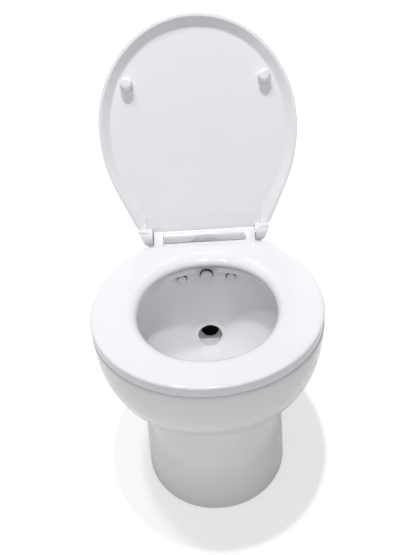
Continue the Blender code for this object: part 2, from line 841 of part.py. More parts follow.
def spray_places():
    return (-SPRAY_SPACING, 0.0, SPRAY_SPACING)


def basin_wall(x, grow=0.0):
    """How far forward of the hinge axis the basin's rear wall lies at a half width, near its top."""
    middle, length = (BASIN_FRONT + BASIN_REAR) / 2, (BASIN_FRONT - BASIN_REAR) / 2 + grow
    across = abs(x) / (BASIN_HALF + grow)
    return middle - length * (1 - across ** BASIN_POWER) ** (1 / BASIN_POWER)


# Seat and its buffers, in heights from the hinge axis
def seat():
    outer = seat_outline()
    crest = egg(SEAT_CREST_HALF, SEAT_CREST_FRONT, SEAT_CREST_REAR, outer, SEAT_HOLE_POWER)
    hole = egg(SEAT_HOLE_HALF, SEAT_HOLE_FRONT, SEAT_HOLE_REAR, outer, SEAT_HOLE_POWER)
    top, under = SEAT_TOP - HINGE_HEIGHT, SEAT_UNDER - HINGE_HEIGHT
    foot, edge = SEAT_FOOT_ROUND, SEAT_EDGE_ROUND
    rings = [
        at_height(seat_outline(foot), under),
        at_height(outer, under + foot),
        at_height(outer, top - edge),
        at_height(seat_outline(edge * 0.3), top - edge * 0.3),
        at_height(seat_outline(edge), top),
        at_height(crest, top),
        at_height(between(crest, hole, 0.5), top - SEAT_LIP_DROP * 0.2),
        at_height(between(crest, hole, 0.85), top - SEAT_LIP_DROP * 0.6),
        at_height(hole, top - SEAT_LIP_DROP),
        at_height(hole, under + foot),
        at_height(egg(SEAT_HOLE_HALF, SEAT_HOLE_FRONT, SEAT_HOLE_REAR, outer, SEAT_HOLE_POWER, foot),
                  under),
    ]
    ring = loft("seat", rings, SEAT, ((0.90, 0.91, 0.94), 0.12), around=True)
    ears, bores = [], []
    for s in (-1, 1):
        inner, outer_x = s * EAR_INNER, s * (EAR_INNER + EAR_WIDTH)
        low_x, high_x = sorted((inner, outer_x))
        ears.append(web(
            f"ear_{s}", EAR_RADIUS, (inner, 0.0, 0.0), (outer_x, 0.0, 0.0),
            (low_x, -SEAT_REAR - EAR_ROOT, under + foot), (high_x, -SEAT_REAR - foot, top - TOUCH), SEAT,
        ))
        bores.append(((inner - s * OVERRUN, 0.0, 0.0), (outer_x + s * OVERRUN, 0.0, 0.0)))
    stems = [((x, y, under - OVERRUN), (x, y, under + SEAT_BUFFER_STEM_DEPTH + TOUCH))
             for x, y in buffer_places()]
    strip_half = EAR_INNER + EAR_GAP
    strip = block(
        "seat_strip", (-strip_half, -SEAT_REAR - EAR_ROOT, under + 2 * foot),
        (strip_half, -BAR_DEPTH / 2 - SEAT_STRIP_GAP, top - SEAT_STRIP_STEP), SEAT,
    )
    join(ring, strip, *ears)
    return cut(
        ring,
        rods("ear_bores", PIN_RADIUS + RUNNING, bores, SEAT, sides=SMALL),
        rods("buffer_holes", SEAT_BUFFER_STEM + TOUCH, stems, SEAT, sides=SMALL),
    )


def buffer_places():
    rear = (SEAT_HALF - SEAT_BUFFER_REAR_INSET, SEAT_BUFFER_REAR_FORWARD)
    front = (SEAT_HALF - SEAT_BUFFER_FRONT_INSET, SEAT_BUFFER_FRONT_FORWARD)
    return [(s * x, -v) for s in (-1, 1) for x, v in (rear, front)]


def seat_buffers():
    """Four soft pads under the seat: an oblong foot with a stem that pushes into the seat."""
    under = SEAT_UNDER - HINGE_HEIGHT
    names = ("rear_left", "front_left", "rear_right", "front_right")
    for name, (x, y) in zip(names, buffer_places()):
        half_width, half_length = SEAT_BUFFER_WIDTH / 2, SEAT_BUFFER_LENGTH / 2
        pad = block(
            f"seat_buffer_{name}", (x - half_width, y - half_length, under - SEAT_BUFFER_HEIGHT + TOUCH),
            (x + half_width, y + half_length, under - TOUCH), SEAT, ((0.80, 0.81, 0.83), 0.5),
        )
        round_upright_edges(pad, half_width * 0.9, 3)
        stem = [((x, y, under - SEAT_BUFFER_HEIGHT / 2), (x, y, under + SEAT_BUFFER_STEM_DEPTH))]
        join(pad, rods(f"stem_{name}", SEAT_BUFFER_STEM, stem, SEAT, sides=SMALL))


def round_upright_edges(item, radius, segments, along=Z):
    """Rounds only the edges that run along one direction."""
    rounded = item.modifiers.new("corners", "BEVEL")
    rounded.width = radius
    rounded.segments = segments
    rounded.limit_method = "WEIGHT"
    weights = item.data.attributes.new("bevel_weight_edge", "FLOAT", "EDGE")
    for edge in item.data.edges:
        a, b = (item.data.vertices[i].co for i in edge.vertices)
        weights.data[edge.index].value = 1.0 if abs((a - b).normalized().dot(along)) > 0.5 else 0.0


# Lid and its buffers, modelled closed, in heights from the hinge axis
def lid():
    rim = -LID_RIM_DROP
    foot = LID_LIP + LID_WALL_RUN
    floor = rim + LID_RECESS
    outer_rings = [
        at_height(lid_outline(LID_ROUND), rim),
        at_height(lid_outline(), rim + LID_ROUND),
        at_height(lid_outline(), rim + LID_EDGE_DEPTH),
        at_height(lid_outline(LID_SKIN * 0.6), floor + LID_SKIN * 0.7),
        at_height(lid_outline(LID_SKIN * 2), floor + LID_SKIN),
    ]
    inner_rings = [
        at_height(lid_outline(LID_LIP), rim),
        at_height(lid_outline(LID_LIP + LID_ROUND), rim + LID_ROUND),
        at_height(lid_outline(foot), floor),
    ]
    centre = Vector((0.0, SEAT_MIDDLE))

    def dome(inset, z):
        rings = []
        for share in (0.85, 0.6, 0.3):
            ring = [centre.lerp(p, share) for p in lid_outline(inset)]
            rings.append(at_height(ring, z + LID_CROWN * (1 - share ** 2)))
        return rings

    rings = list(reversed(dome(foot, floor))) + list(reversed(inner_rings))
    rings += outer_rings + dome(LID_SKIN * 2, floor + LID_SKIN)
    cover = loft("lid", rings, LID, ((0.90, 0.91, 0.94), 0.12))
    webs, bores = [], []
    for s in (-1, 1):
        inner, outer_x = s * KNUCKLE_INNER, s * (KNUCKLE_INNER + KNUCKLE_WIDTH)
        low_x, high_x = sorted((inner, outer_x - s * LID_LIP))
        webs.append(web(
            f"knuckle_{s}", KNUCKLE_RADIUS, (inner, 0.0, 0.0), (outer_x, 0.0, 0.0),
            (low_x, -LID_REAR - KNUCKLE_ROOT, rim + LID_ROUND), (high_x, -LID_REAR - LID_ROUND, floor), LID,
        ))
        bores.append(((inner - s * OVERRUN, 0.0, 0.0), (inner + s * (DAMPER_LENGTH + TOUCH), 0.0, 0.0)))
    tongue_half = KNUCKLE_INNER + KNUCKLE_ROUND
    tongue = block(
        "lid_tongue", (-tongue_half, -LID_REAR - foot + LID_ROUND, floor + 2 * TOUCH),
        (tongue_half, -LID_TONGUE_REAR, floor + LID_SKIN - TOUCH), LID,
    )
    lip_half = KNUCKLE_INNER - TOUCH
    lip_room = block(
        "lip_room", (-lip_half, -LID_REAR - foot, rim - OVERRUN), (lip_half, 0.0, floor + TOUCH), LID,
    )
    join(cover, *webs)
    cut(cover, lip_room)
    join(cover, tongue)
    places = [((s * LID_BUFFER_HALF_SPACING, -LID_BUFFER_FORWARD, rim - OVERRUN),
               (s * LID_BUFFER_HALF_SPACING, -LID_BUFFER_FORWARD, buffer_seat())) for s in (-1, 1)]
    return cut(
        cover,
        knuckle_trim(-1),
        knuckle_trim(1),
        rods("damper_bores", DAMPER_RADIUS + TOUCH, bores, LID, sides=ROUND),
        rods("lid_buffer_pockets", LID_BUFFER_RADIUS + TOUCH, places, LID, sides=ROUND),
    )


def knuckle_trim(side):
    """Takes the outer end of a knuckle back to a plane that carries on the line of the lid's side."""
    reach = KNUCKLE_RADIUS + OVERRUN
    start = -LID_REAR + OVERRUN / 4

    def build(shape):
        corners = []
        for y in (start, reach):
            inner = KNUCKLE_INNER + KNUCKLE_WIDTH + LID_OVERHANG - KNUCKLE_SLOPE * (y - start)
            corners += [(side * x, y, z) for x in (inner, SEAT_HALF) for z in (-reach, reach)]
        bmesh.ops.convex_hull(shape, input=[shape.verts.new(c) for c in corners])
        bmesh.ops.recalc_face_normals(shape, faces=shape.faces)

    return add(f"knuckle_trim_{side}", mesh_from(f"knuckle_trim_{side}", build), LID)


def buffer_seat():
    """Height of the flat bottom of each buffer's pocket in the lid's inner face, from the hinge axis."""
    return -LID_RIM_DROP + LID_RECESS + LID_BUFFER_POCKET


def lid_buffers():
    """Two round domed bumpers that keep the closed lid just clear of the seat."""
    tip = SEAT_TOP - HINGE_HEIGHT + TOUCH
    base = buffer_seat() - TOUCH
    dome, radius = LID_BUFFER_DOME, LID_BUFFER_RADIUS
    profile = [(0.0, base), (radius, base), (radius, tip + dome), (radius * 0.9, tip + dome * 0.35),
               (radius * 0.6, tip), (0.0, tip)]
    for s, side in SIDES:
        turned(f"lid_buffer_{side}", profile, LID, ((0.88, 0.89, 0.90), 0.35),
               at=(s * LID_BUFFER_HALF_SPACING, -LID_BUFFER_FORWARD, 0.0), sides=ROUND)


# Hinge
def bar_top():
    return HINGE_HEIGHT - BAR_DROP + BAR_HEIGHT / 2


def bar_bottom():
    return bar_top() - BAR_HEIGHT


def bar_section(inset):
    """Places (y, z) round the bar's section: well rounded along its top, nearly square along its foot."""
    half = BAR_DEPTH / 2 - inset
    places = []
    for radius, edge, way in ((BAR_ROUND, bar_top() - inset, 1),
                              (BAR_FOOT_ROUND, bar_bottom() + inset, -1)):
        for i in range(5):
            turn = math.radians(90.0) * i / 4
            y, z = half - radius * (1 - math.cos(turn)), edge - way * radius * (1 - math.sin(turn))
            places += [(-y, z), (y, z)]
    return places


def hinge_bar():
    """The fixed bar between the seat's ears, on two round feet that stand on the deck."""

    def build(shape):
        for x, inset in ((BAR_HALF, BAR_END_ROUND), (BAR_HALF - BAR_END_ROUND, 0.0)):
            for y, z in bar_section(inset):
                shape.verts.new((x, y, z))
                shape.verts.new((-x, y, z))
        bmesh.ops.convex_hull(shape, input=shape.verts)
        bmesh.ops.recalc_face_normals(shape, faces=shape.faces)

    bar = add("hinge_bar", mesh_from("hinge_bar", build), ROOT, ((0.84, 0.85, 0.87), 0.3))
    feet = rods(
        "bar_feet", BAR_FOOT_RADIUS,
        [((x, 0.0, CHINA_HEIGHT + TOUCH), (x, 0.0, HINGE_HEIGHT - BAR_DROP))
         for x in both_sides(STUD_HALF_SPACING)],
        ROOT,
    )
    join(bar, feet)
    pins = [((s * (BAR_HALF - PIN_BAR_GRIP - TOUCH), 0.0, HINGE_HEIGHT),
             (s * (BAR_HALF + OVERRUN), 0.0, HINGE_HEIGHT)) for s in (-1, 1)]
    heads = [((x, 0.0, CHINA_HEIGHT), (x, 0.0, stud_head_top() + TOUCH))
             for x in both_sides(STUD_HALF_SPACING)]
    return cut(
        bar,
        rods("pin_bores", PIN_RADIUS + TOUCH, pins, ROOT, sides=SMALL),
        rods("stud_bores", STUD_HEAD_RADIUS + TOUCH, heads, ROOT, sides=SMALL),
        thumb_recess(),
        block(
            "key_pocket", (-BUTTON_HALF - BUTTON_CLEAR, button_front() - BUTTON_CLEAR,
                           bar_bottom() - OVERRUN),
            (BUTTON_HALF + BUTTON_CLEAR, button_front() + BUTTON_DEPTH + BUTTON_CLEAR, pocket_roof()), ROOT,
        ),
    )


def thumb_recess():
    """The shallow recess in the bar's front, wider at its foot, that shows the key and lets a thumb in."""
    front, back = -BAR_DEPTH / 2 - OVERRUN, -BAR_DEPTH / 2 + THUMB_DEPTH
    flare = (THUMB_FOOT_HALF - THUMB_TOP_HALF) / THUMB_HEIGHT
    foot, top = bar_bottom() - OVERRUN, bar_bottom() + THUMB_HEIGHT
    foot_half = THUMB_FOOT_HALF + flare * OVERRUN

    def build(shape):
        corners = [(x * half, y, z) for z, half in ((foot, foot_half), (top, THUMB_TOP_HALF))
                   for y in (front, back) for x in (-1, 1)]
        bmesh.ops.convex_hull(shape, input=[shape.verts.new(c) for c in corners])
        bmesh.ops.recalc_face_normals(shape, faces=shape.faces)

    return add("thumb_recess", mesh_from("thumb_recess", build), ROOT)


def stud_head_top():
    return CHINA_HEIGHT + 2 * STUD_HEAD


def button_foot():
    return bar_bottom() + BUTTON_RISE


def pocket_roof():
    """Height of the pocket's roof, which the key's top comes up to when it is pressed."""
    return button_foot() + BUTTON_HEIGHT + BUTTON_TRAVEL + TOUCH


def button_front():
    return -BAR_DEPTH / 2 + BUTTON_SET_BACK


def button_y():
    return button_front() + BUTTON_DEPTH / 2


def release_button():
    """The sprung key that a thumb pushes up to unlock the seat and lid from the deck studs."""
    top = button_foot() + BUTTON_HEIGHT
    key = block(
        "release_button", (-BUTTON_HALF, button_front(), button_foot()),
        (BUTTON_HALF, button_front() + BUTTON_DEPTH, top),
        BUTTON, ((0.72, 0.73, 0.75), 0.35), bevel=BUTTON_ROUND,
    )
    bore = [((0.0, button_y(), top - BUTTON_BORE_DEPTH), (0.0, button_y(), top + OVERRUN))]
    return cut(key, rods("key_bore", BUTTON_BORE, bore, BUTTON, sides=SMALL))


def button_spring():
    """The spring between the floor of the key's bore and the roof of the bar's pocket."""
    low = button_foot() + BUTTON_HEIGHT - BUTTON_BORE_DEPTH + BUTTON_SPRING_WIRE + TOUCH
    high = pocket_roof() - BUTTON_SPRING_WIRE - TOUCH
    steps = 9 * BUTTON_SPRING_TURNS
    points = []
    for i in range(steps + 1):
        turn = math.radians(360.0) * BUTTON_SPRING_TURNS * i / steps
        x, y = BUTTON_SPRING_RADIUS * math.cos(turn), BUTTON_SPRING_RADIUS * math.sin(turn)
        points.append((x, button_y() + y, blend(low, high, i / steps)))
    mesh = tube_mesh("button_spring", points, BUTTON_SPRING_WIRE, resolution=1)
    return add("button_spring", mesh, ROOT, ((0.6, 0.6, 0.62), 0.3, 1.0))


def hinge_pins():
    start, end = BAR_HALF - PIN_BAR_GRIP, KNUCKLE_INNER + DAMPER_LENGTH - PIN_END_WALL
    for s, side in SIDES:
        rods(f"hinge_pin_{side}", PIN_RADIUS, [((s * start, 0.0, HINGE_HEIGHT),
                                                (s * end, 0.0, HINGE_HEIGHT))], ROOT,
             ((0.75, 0.75, 0.77), 0.25, 1.0), sides=SMALL)


def dampers():
    """Rotary soft-close dampers, pressed into the lid's knuckles and turning on the hinge pins."""
    reach, bore = KNUCKLE_INNER + DAMPER_LENGTH, PIN_RADIUS + TOUCH
    near, blind = KNUCKLE_INNER + TOUCH, reach - PIN_END_WALL + TOUCH
    profile = [(0.0, reach), (DAMPER_RADIUS, reach), (DAMPER_RADIUS, near), (bore, near), (bore, blind),
               (0.0, blind)]
    for s, side in SIDES:
        turned(f"soft_close_damper_{side}", profile, LID, ((0.25, 0.25, 0.27), 0.4), along=X * s,
               sides=ROUND)


def hinge_studs():
    """Two mushroom-headed steel studs through the deck, which the hinge bar locks on to."""
    top, bottom = stud_head_top(), DECK_UNDER - STUD_BELOW
    neck = top - STUD_HEAD
    profile = [(0.0, top), (STUD_HEAD_RADIUS, top), (STUD_HEAD_RADIUS, neck), (STUD_RADIUS, neck),
               (STUD_RADIUS, bottom),
               (0.0, bottom)]
    for s, side in SIDES:
        turned(f"hinge_stud_{side}", profile, ROOT, ((0.7, 0.7, 0.72), 0.3, 1.0),
               at=(s * STUD_HALF_SPACING, 0.0, 0.0),
               sides=SMALL)


def wing_nuts():
    """Flanged plastic wing nuts under the deck."""
    top = DECK_UNDER - TOUCH
    bottom = top - WING_HEIGHT
    profile = [(0.0, top), (NUT_FLANGE_RADIUS, top), (NUT_FLANGE_RADIUS, top - NUT_FLANGE),
               (NUT_RADIUS, top - NUT_FLANGE),
               (NUT_RADIUS, top - NUT_HEIGHT), (0.0, top - NUT_HEIGHT)]
    for s, side in SIDES:
        x = s * STUD_HALF_SPACING
        nut = turned(f"wing_nut_{side}", profile, ROOT, ((0.85, 0.85, 0.85), 0.4), at=(x, 0.0, 0.0),
                     sides=SMALL)
        wings = block(f"wings_{side}", (x - WING_SPAN, -WING_THICKNESS / 2, bottom),
                      (x + WING_SPAN, WING_THICKNESS / 2, top - NUT_FLANGE - WING_THICKNESS / 2), ROOT)
        bore = [((x, 0.0, bottom - OVERRUN), (x, 0.0, top + OVERRUN))]
        join(nut, wings)
        cut(nut, rods(f"nut_bore_{side}", STUD_RADIUS + TOUCH, bore, ROOT, sides=SMALL))


# Water: manifold, nozzles, hose and valve
def barb_profile(radius, bore, near, far, ridges):
    """A hose tail from near to far with saw-tooth ridges, its bore left to a cutter."""
    pitch = (far - near) / (ridges + 1)
    profile = [(0.0, far), (radius * 0.86, far)]
    for i in range(ridges):
        ridge = far - pitch * (i + 1)
        profile += [(radius, ridge), (radius * 0.88, ridge)]
    profile += [(radius * 0.88, near), (0.0, near)]
    return profile


def manifold_y():
    return -MANIFOLD_BEHIND


def water_manifold():
    """The moulded pipe behind the basin that feeds the three nozzles."""
    reach = SPRAY_SPACING + MANIFOLD_END
    y, z = manifold_y(), SPRAY_HEIGHT
    profile = disc_profile(MANIFOLD_RADIUS, -reach, reach)
    pipe = turned("water_manifold", profile, ROOT, ((0.85, 0.86, 0.87), 0.4), at=(0.0, y, z), along=X,
                  sides=ROUND)
    spigots = [((x, y, z), (x, spigot_tip(x), z)) for x in spray_places()]
    barb = turned("manifold_barb", barb_profile(BARB_RADIUS, BARB_BORE, 0.0, MANIFOLD_RADIUS + BARB_LENGTH,
                                                2), ROOT,
                  at=(-SPRAY_SPACING, y, z), along=-Z, sides=SMALL)
    collars = [((x, y, z), (x, spigot_shoulder(x), z)) for x in spray_places()]
    join(pipe, rods("manifold_spigots", SPIGOT_RADIUS, spigots, ROOT, sides=SMALL),
         rods("manifold_collars", SPRAY_NECK_RADIUS, collars, ROOT, sides=SMALL), barb)
    bores = [((x, y, z), (x, spigot_tip(x) - OVERRUN, z)) for x in spray_places()]
    inlet = [((-SPRAY_SPACING, y, z), (-SPRAY_SPACING, y, z - MANIFOLD_RADIUS - BARB_LENGTH - OVERRUN))]
    inside = reach - MANIFOLD_RADIUS + MANIFOLD_BORE
    return cut(
        pipe,
        rods("manifold_bore", MANIFOLD_BORE, [((-inside, y, z), (inside, y, z))], ROOT, sides=SMALL),
        rods("spigot_bores", SPIGOT_BORE, bores, ROOT, sides=SMALL),
        rods("inlet_bore", BARB_BORE, inlet, ROOT, sides=SMALL),
    )


def nozzle_back(x):
    """How far forward of the hinge axis a nozzle's neck starts, clear of the curved wall."""
    outer = abs(x) + (JET_NECK_RADIUS if x else SPRAY_NECK_RADIUS)
    return basin_wall(outer) + SPRAY_CLEAR


def spigot_tip(x):
    """y of a spigot's end, inside the basin."""
    return -nozzle_back(x) - SPIGOT_REACH


def spigot_shoulder(x):
    """y of the collars that bear on the back of the basin's wall."""
    return -basin_wall(max(abs(x) - SPRAY_NECK_RADIUS, 0.0), CHINA_WALL) + SPRAY_CLEAR


def nozzle(name, x, head_radius, head_depth, neck_radius):
    """A capped head on the end of a spigot, standing off the wall on its narrower neck."""
    near = nozzle_back(x)
    neck = near + SPRAY_NECK_LENGTH
    face = neck + head_depth
    bore, blind = SPIGOT_RADIUS + TOUCH, neck + head_depth / 3
    profile = [(0.0, face), (head_radius * 0.8, face), (head_radius, face - head_depth * 0.35),
               (head_radius, neck), (neck_radius, neck), (neck_radius, near), (bore, near), (bore, blind),
               (0.0, blind)]
    return turned(name, profile, ROOT, ((0.80, 0.80, 0.80), 0.35), at=(x, 0.0, SPRAY_HEIGHT), along=-Y,
                  sides=ROUND)


def nozzles():
    nozzle("spreader_nozzle", 0.0, SPRAY_HEAD_RADIUS, SPRAY_HEAD_DEPTH, SPRAY_NECK_RADIUS)
    for s, side in SIDES:
        nozzle(f"side_jet_{side}", s * SPRAY_SPACING, JET_RADIUS, JET_DEPTH, JET_NECK_RADIUS)


def valve_top():
    return VALVE_Z + VALVE_HEIGHT / 2


def valve_body():
    """The solenoid valve's moulded body: inlet to the rear, hose tail upward, guide tube below."""
    low, high = VALVE_Z - VALVE_HEIGHT / 2, valve_top()
    body = turned("valve_body", disc_profile(VALVE_RADIUS, low, high), ROOT, ((0.88, 0.88, 0.86), 0.4),
                  at=(VALVE_X, VALVE_Y, 0.0), sides=ROUND)
    inlet = rods("valve_inlet", VALVE_INLET_RADIUS,
                 [((VALVE_X, VALVE_Y + VALVE_RADIUS / 2, VALVE_Z), (VALVE_X, valve_inlet_end(), VALVE_Z))],
                 ROOT)
    tail = turned("valve_tail", barb_profile(BARB_RADIUS, BARB_BORE, high - VALVE_WALL / 2,
                                             high + BARB_LENGTH, 2), ROOT,
                  at=(VALVE_X, VALVE_Y, 0.0), sides=SMALL)
    collar_face = UPRIGHT_FORWARD - TOUCH
    collar = [((VALVE_X, collar_face - VALVE_COLLAR, VALVE_Z), (VALVE_X, collar_face, VALVE_Z))]
    join(body, inlet, tail, rods("valve_collar", VALVE_COLLAR_RADIUS, collar, ROOT))
    chamber = VALVE_RADIUS - VALVE_WALL
    return cut(
        body,
        rods("valve_chamber", chamber, [((VALVE_X, VALVE_Y, low - OVERRUN),
                                         (VALVE_X, VALVE_Y, high - VALVE_WALL))], ROOT),
        rods("valve_inlet_bore", VALVE_INLET_BORE,
             [((VALVE_X, VALVE_Y + VALVE_RADIUS / 3, VALVE_Z),
               (VALVE_X, valve_inlet_end() + OVERRUN, VALVE_Z))], ROOT, sides=SMALL),
        rods("valve_tail_bore", BARB_BORE, [((VALVE_X, VALVE_Y, high - VALVE_WALL - OVERRUN),
                                             (VALVE_X, VALVE_Y, high + BARB_LENGTH + OVERRUN))],
             ROOT, sides=SMALL),
    )


def valve_inlet_end():
    return VALVE_Y + VALVE_INLET_REACH


def guide_top():
    return VALVE_Z - VALVE_HEIGHT / 2 - TOUCH


def valve_guide():
    """The closed tube that the plunger slides in, with the flange that closes the valve's chamber."""
    top = guide_top()
    bottom = top - GUIDE_LENGTH
    bore = GUIDE_RADIUS - GUIDE_WALL
    profile = [(bore, top), (VALVE_RADIUS, top), (VALVE_RADIUS, top - VALVE_WALL),
               (GUIDE_RADIUS, top - VALVE_WALL),
               (GUIDE_RADIUS, bottom), (0.0, bottom), (0.0, bottom + GUIDE_CAP), (bore, bottom + GUIDE_CAP)]
    return turned("valve_guide_tube", profile[:6] + [profile[6], profile[7]], ROOT,
                  ((0.75, 0.75, 0.77), 0.25, 1.0),
                  at=(VALVE_X, VALVE_Y, 0.0), bored=True, sides=SMALL)


def valve_diaphragm():
    """The rubber disc over the valve's port, just above the guide's flange."""
    low = VALVE_Z - VALVE_HEIGHT / 2 + TOUCH
    profile = disc_profile(VALVE_RADIUS - VALVE_WALL - TOUCH, low, low + DIAPHRAGM_THICKNESS)
    return turned("valve_diaphragm", profile, ROOT, ((0.1, 0.1, 0.1), 0.6), at=(VALVE_X, VALVE_Y, 0.0),
                  sides=SMALL)


def plunger_rest():
    return guide_top() - PLUNGER_TRAVEL * 0.1


def valve_plunger():
    top = plunger_rest()
    profile = disc_profile(PLUNGER_RADIUS, top - PLUNGER_LENGTH, top)
    return turned("valve_plunger", profile, PLUNGER, ((0.65, 0.65, 0.67), 0.3, 1.0),
                  at=(VALVE_X, VALVE_Y, 0.0), sides=SMALL)


def plunger_spring():
    """The return spring between the plunger and the closed end of its tube."""
    low = guide_top() - GUIDE_LENGTH + GUIDE_CAP + BUTTON_SPRING_WIRE + TOUCH
    high = plunger_rest() - PLUNGER_LENGTH - BUTTON_SPRING_WIRE - TOUCH
    radius = PLUNGER_RADIUS - 2 * BUTTON_SPRING_WIRE
    turns = BUTTON_SPRING_TURNS
    steps = 9 * turns
    points = []
    for i in range(steps + 1):
        turn = math.radians(360.0) * turns * i / steps
        points.append((VALVE_X + radius * math.cos(turn), VALVE_Y + radius * math.sin(turn),
                       blend(low, high, i / steps)))
    mesh = tube_mesh("plunger_spring", points, BUTTON_SPRING_WIRE, resolution=1)
    return add("plunger_spring", mesh, ROOT, ((0.6, 0.6, 0.62), 0.3, 1.0))


def valve_coil():
    """The encapsulated solenoid coil round the guide tube, with two blade terminals."""
    top = guide_top() - VALVE_WALL - TOUCH
    half = COIL_WIDTH / 2
    coil = block("valve_coil", (VALVE_X - half, VALVE_Y - half, top - COIL_HEIGHT),
                 (VALVE_X + half, VALVE_Y + half, top),
                 ROOT, ((0.08, 0.08, 0.09), 0.45), bevel=COIL_ROUND)
    tabs = []
    for s in (-1, 1):
        x = VALVE_X + s * COIL_TAB
        z = top - COIL_HEIGHT / 2
        tabs.append(block(f"tab_{s}", (x - COIL_TAB / 2, VALVE_Y + half - TOUCH - COIL_ROUND,
                                       z - COIL_TAB_THICKNESS / 2),
                          (x + COIL_TAB / 2, VALVE_Y + half + COIL_TAB_LENGTH, z + COIL_TAB_THICKNESS / 2),
                          ROOT))
    join(coil, *tabs)
    bore = rods("coil_bore", GUIDE_RADIUS + TOUCH,
                [((VALVE_X, VALVE_Y, top - COIL_HEIGHT - OVERRUN), (VALVE_X, VALVE_Y, top + OVERRUN))],
                ROOT, sides=SMALL)
    return cut(coil, bore)


def hose_points():
    """From the valve's tail up to the manifold's: straight off both, with one soft bend between."""
    start = Vector((VALVE_X, VALVE_Y, valve_top() + TOUCH))
    end = Vector((-SPRAY_SPACING, manifold_y(), SPRAY_HEIGHT - MANIFOLD_RADIUS - TOUCH))
    first = start + Z * BARB_LENGTH * 1.2
    last = end - Z * BARB_LENGTH * 1.2
    pull = (last.z - first.z) * 0.4
    points = [start]
    steps = 12
    for i in range(steps + 1):
        t = i / steps
        p = first * (1 - t) ** 3 + (first + Z * pull) * 3 * t * (1 - t) ** 2
        p += (last - Z * pull) * 3 * t * t * (1 - t) + last * t ** 3
        points.append(p)
    return points + [end]


def flush_hose():
    points = hose_points()
    bore = BARB_RADIUS + HOSE_CLEAR
    hose = add("flush_hose", tube_mesh("flush_hose", points, bore + HOSE_WALL, resolution=4), ROOT,
               ((0.78, 0.79, 0.8), 0.4))
    longer = [points[0] - Z * OVERRUN] + points + [points[-1] + Z * OVERRUN]
    return cut(hose, add("hose_bore", tube_mesh("hose_bore", longer, bore, resolution=4), ROOT))


def hose_clamps():
    """Two worm-drive bands that hold the hose on its tails."""
    inner = BARB_RADIUS + HOSE_CLEAR + HOSE_WALL + TOUCH
    outer = inner + CLAMP_WALL
    points = hose_points()
    middles = (("lower", points[0] + Z * BARB_LENGTH / 2), ("upper", points[-1] - Z * BARB_LENGTH / 2))
    reach, y = CLAMP_WIDTH * 0.7, outer + CLAMP_SCREW * 0.6
    for name, place in middles:
        band = turned(f"hose_clamp_{name}", disc_profile(outer, -CLAMP_WIDTH / 2, CLAMP_WIDTH / 2), ROOT,
                      ((0.7, 0.7, 0.72), 0.3, 1.0), at=place, sides=ROUND)
        ends = [(place + Y * y - X * reach, place + Y * y + X * reach)]
        join(band, rods(f"clamp_screw_{name}", CLAMP_SCREW, ends, ROOT, sides=SMALL))
        hole = [(place - Z * CLAMP_WIDTH, place + Z * CLAMP_WIDTH)]
        cut(band, rods(f"clamp_hole_{name}", inner, hole, ROOT, sides=ROUND))


# Macerator pump, round an axis along X
def pump_x(x):
    return Vector((x, PUMP_CENTRE.y, PUMP_CENTRE.z))


def pump_gasket():
    """Black rubber between the china's outlet and the pump: a flange with a sleeve up inside the outlet."""
    low, high = NECK_TOP + TOUCH, OUTLET_HEIGHT - TOUCH
    inner = DROP_RADIUS - TOUCH - GASKET_WALL
    profile = [(inner, high + GASKET_SLEEVE), (DROP_RADIUS - TOUCH, high + GASKET_SLEEVE),
               (DROP_RADIUS - TOUCH, high),
               (DROP_RADIUS + OUTLET_WALL, high), (DROP_RADIUS + OUTLET_WALL, low), (inner, low)]
    return turned("pump_inlet_gasket", profile, ROOT, ((0.03, 0.03, 0.03), 0.6),
                  at=(0.0, -DROP_FORWARD, 0.0),
                  bored=True, sides=FINE)


def macerator_housing():
    barrel = turned("macerator_housing", disc_profile(HOUSING_RADIUS, -CHAMBER_LEFT, HOUSING_RIGHT), ROOT,
                    ((0.12, 0.12, 0.13), 0.45), at=pump_x(0.0), along=X, sides=FINE)
    centre = pump_x(0.0)
    neck = rods("inlet_neck", INLET_NECK_RADIUS, [(centre, (0.0, centre.y, NECK_TOP))], ROOT, sides=FINE)
    outlet_start = pump_x(OUTLET_SIDE)
    outlet_end = outlet_start + Y * OUTLET_FACE
    outlet = rods("outlet_neck", OUTLET_NECK_RADIUS, [(outlet_start, outlet_end)], ROOT)
    foot = block("pump_foot", (foot_left(), centre.y - FOOT_HALF_WIDTH, foot_top() - FOOT_PLATE),
                 (HOUSING_RIGHT - TOUCH, centre.y + FOOT_HALF_WIDTH, foot_top()), ROOT)
    join(barrel, neck, outlet, foot)
    socket = [(outlet_end - Y * OUTLET_SOCKET_DEPTH, outlet_end + Y * OVERRUN)]
    return cut(
        barrel,
        rods("chamber", CHAMBER_RADIUS, [(pump_x(-CHAMBER_LEFT - OVERRUN), pump_x(CHAMBER_RIGHT))], ROOT,
             sides=FINE),
        rods("inlet_bore_pump", INLET_NECK_BORE, [(centre, (0.0, centre.y, NECK_TOP + OVERRUN))], ROOT),
        rods("outlet_bore", OUTLET_BORE, [(outlet_start, outlet_end)], ROOT),
        rods("outlet_socket", OUTLET_SOCKET + TOUCH, socket, ROOT),
        rods("shaft_hole", SEAL_RADIUS + TOUCH, [(pump_x(0.0), pump_x(HOUSING_RIGHT + OVERRUN))], ROOT,
             sides=SMALL),
    )


def foot_left():
    return -CHAMBER_LEFT + RING_WALL + RING_LIP + TOUCH


def foot_top():
    return PLATE_THICKNESS + 2 * TOUCH + FOOT_PAD_HEIGHT + FOOT_PLATE


def cover_near():
    """Distance of the cover's inner face to the left of the outlet's axis."""
    return CHAMBER_LEFT + COVER_SEAL_WIDTH + 2 * TOUCH


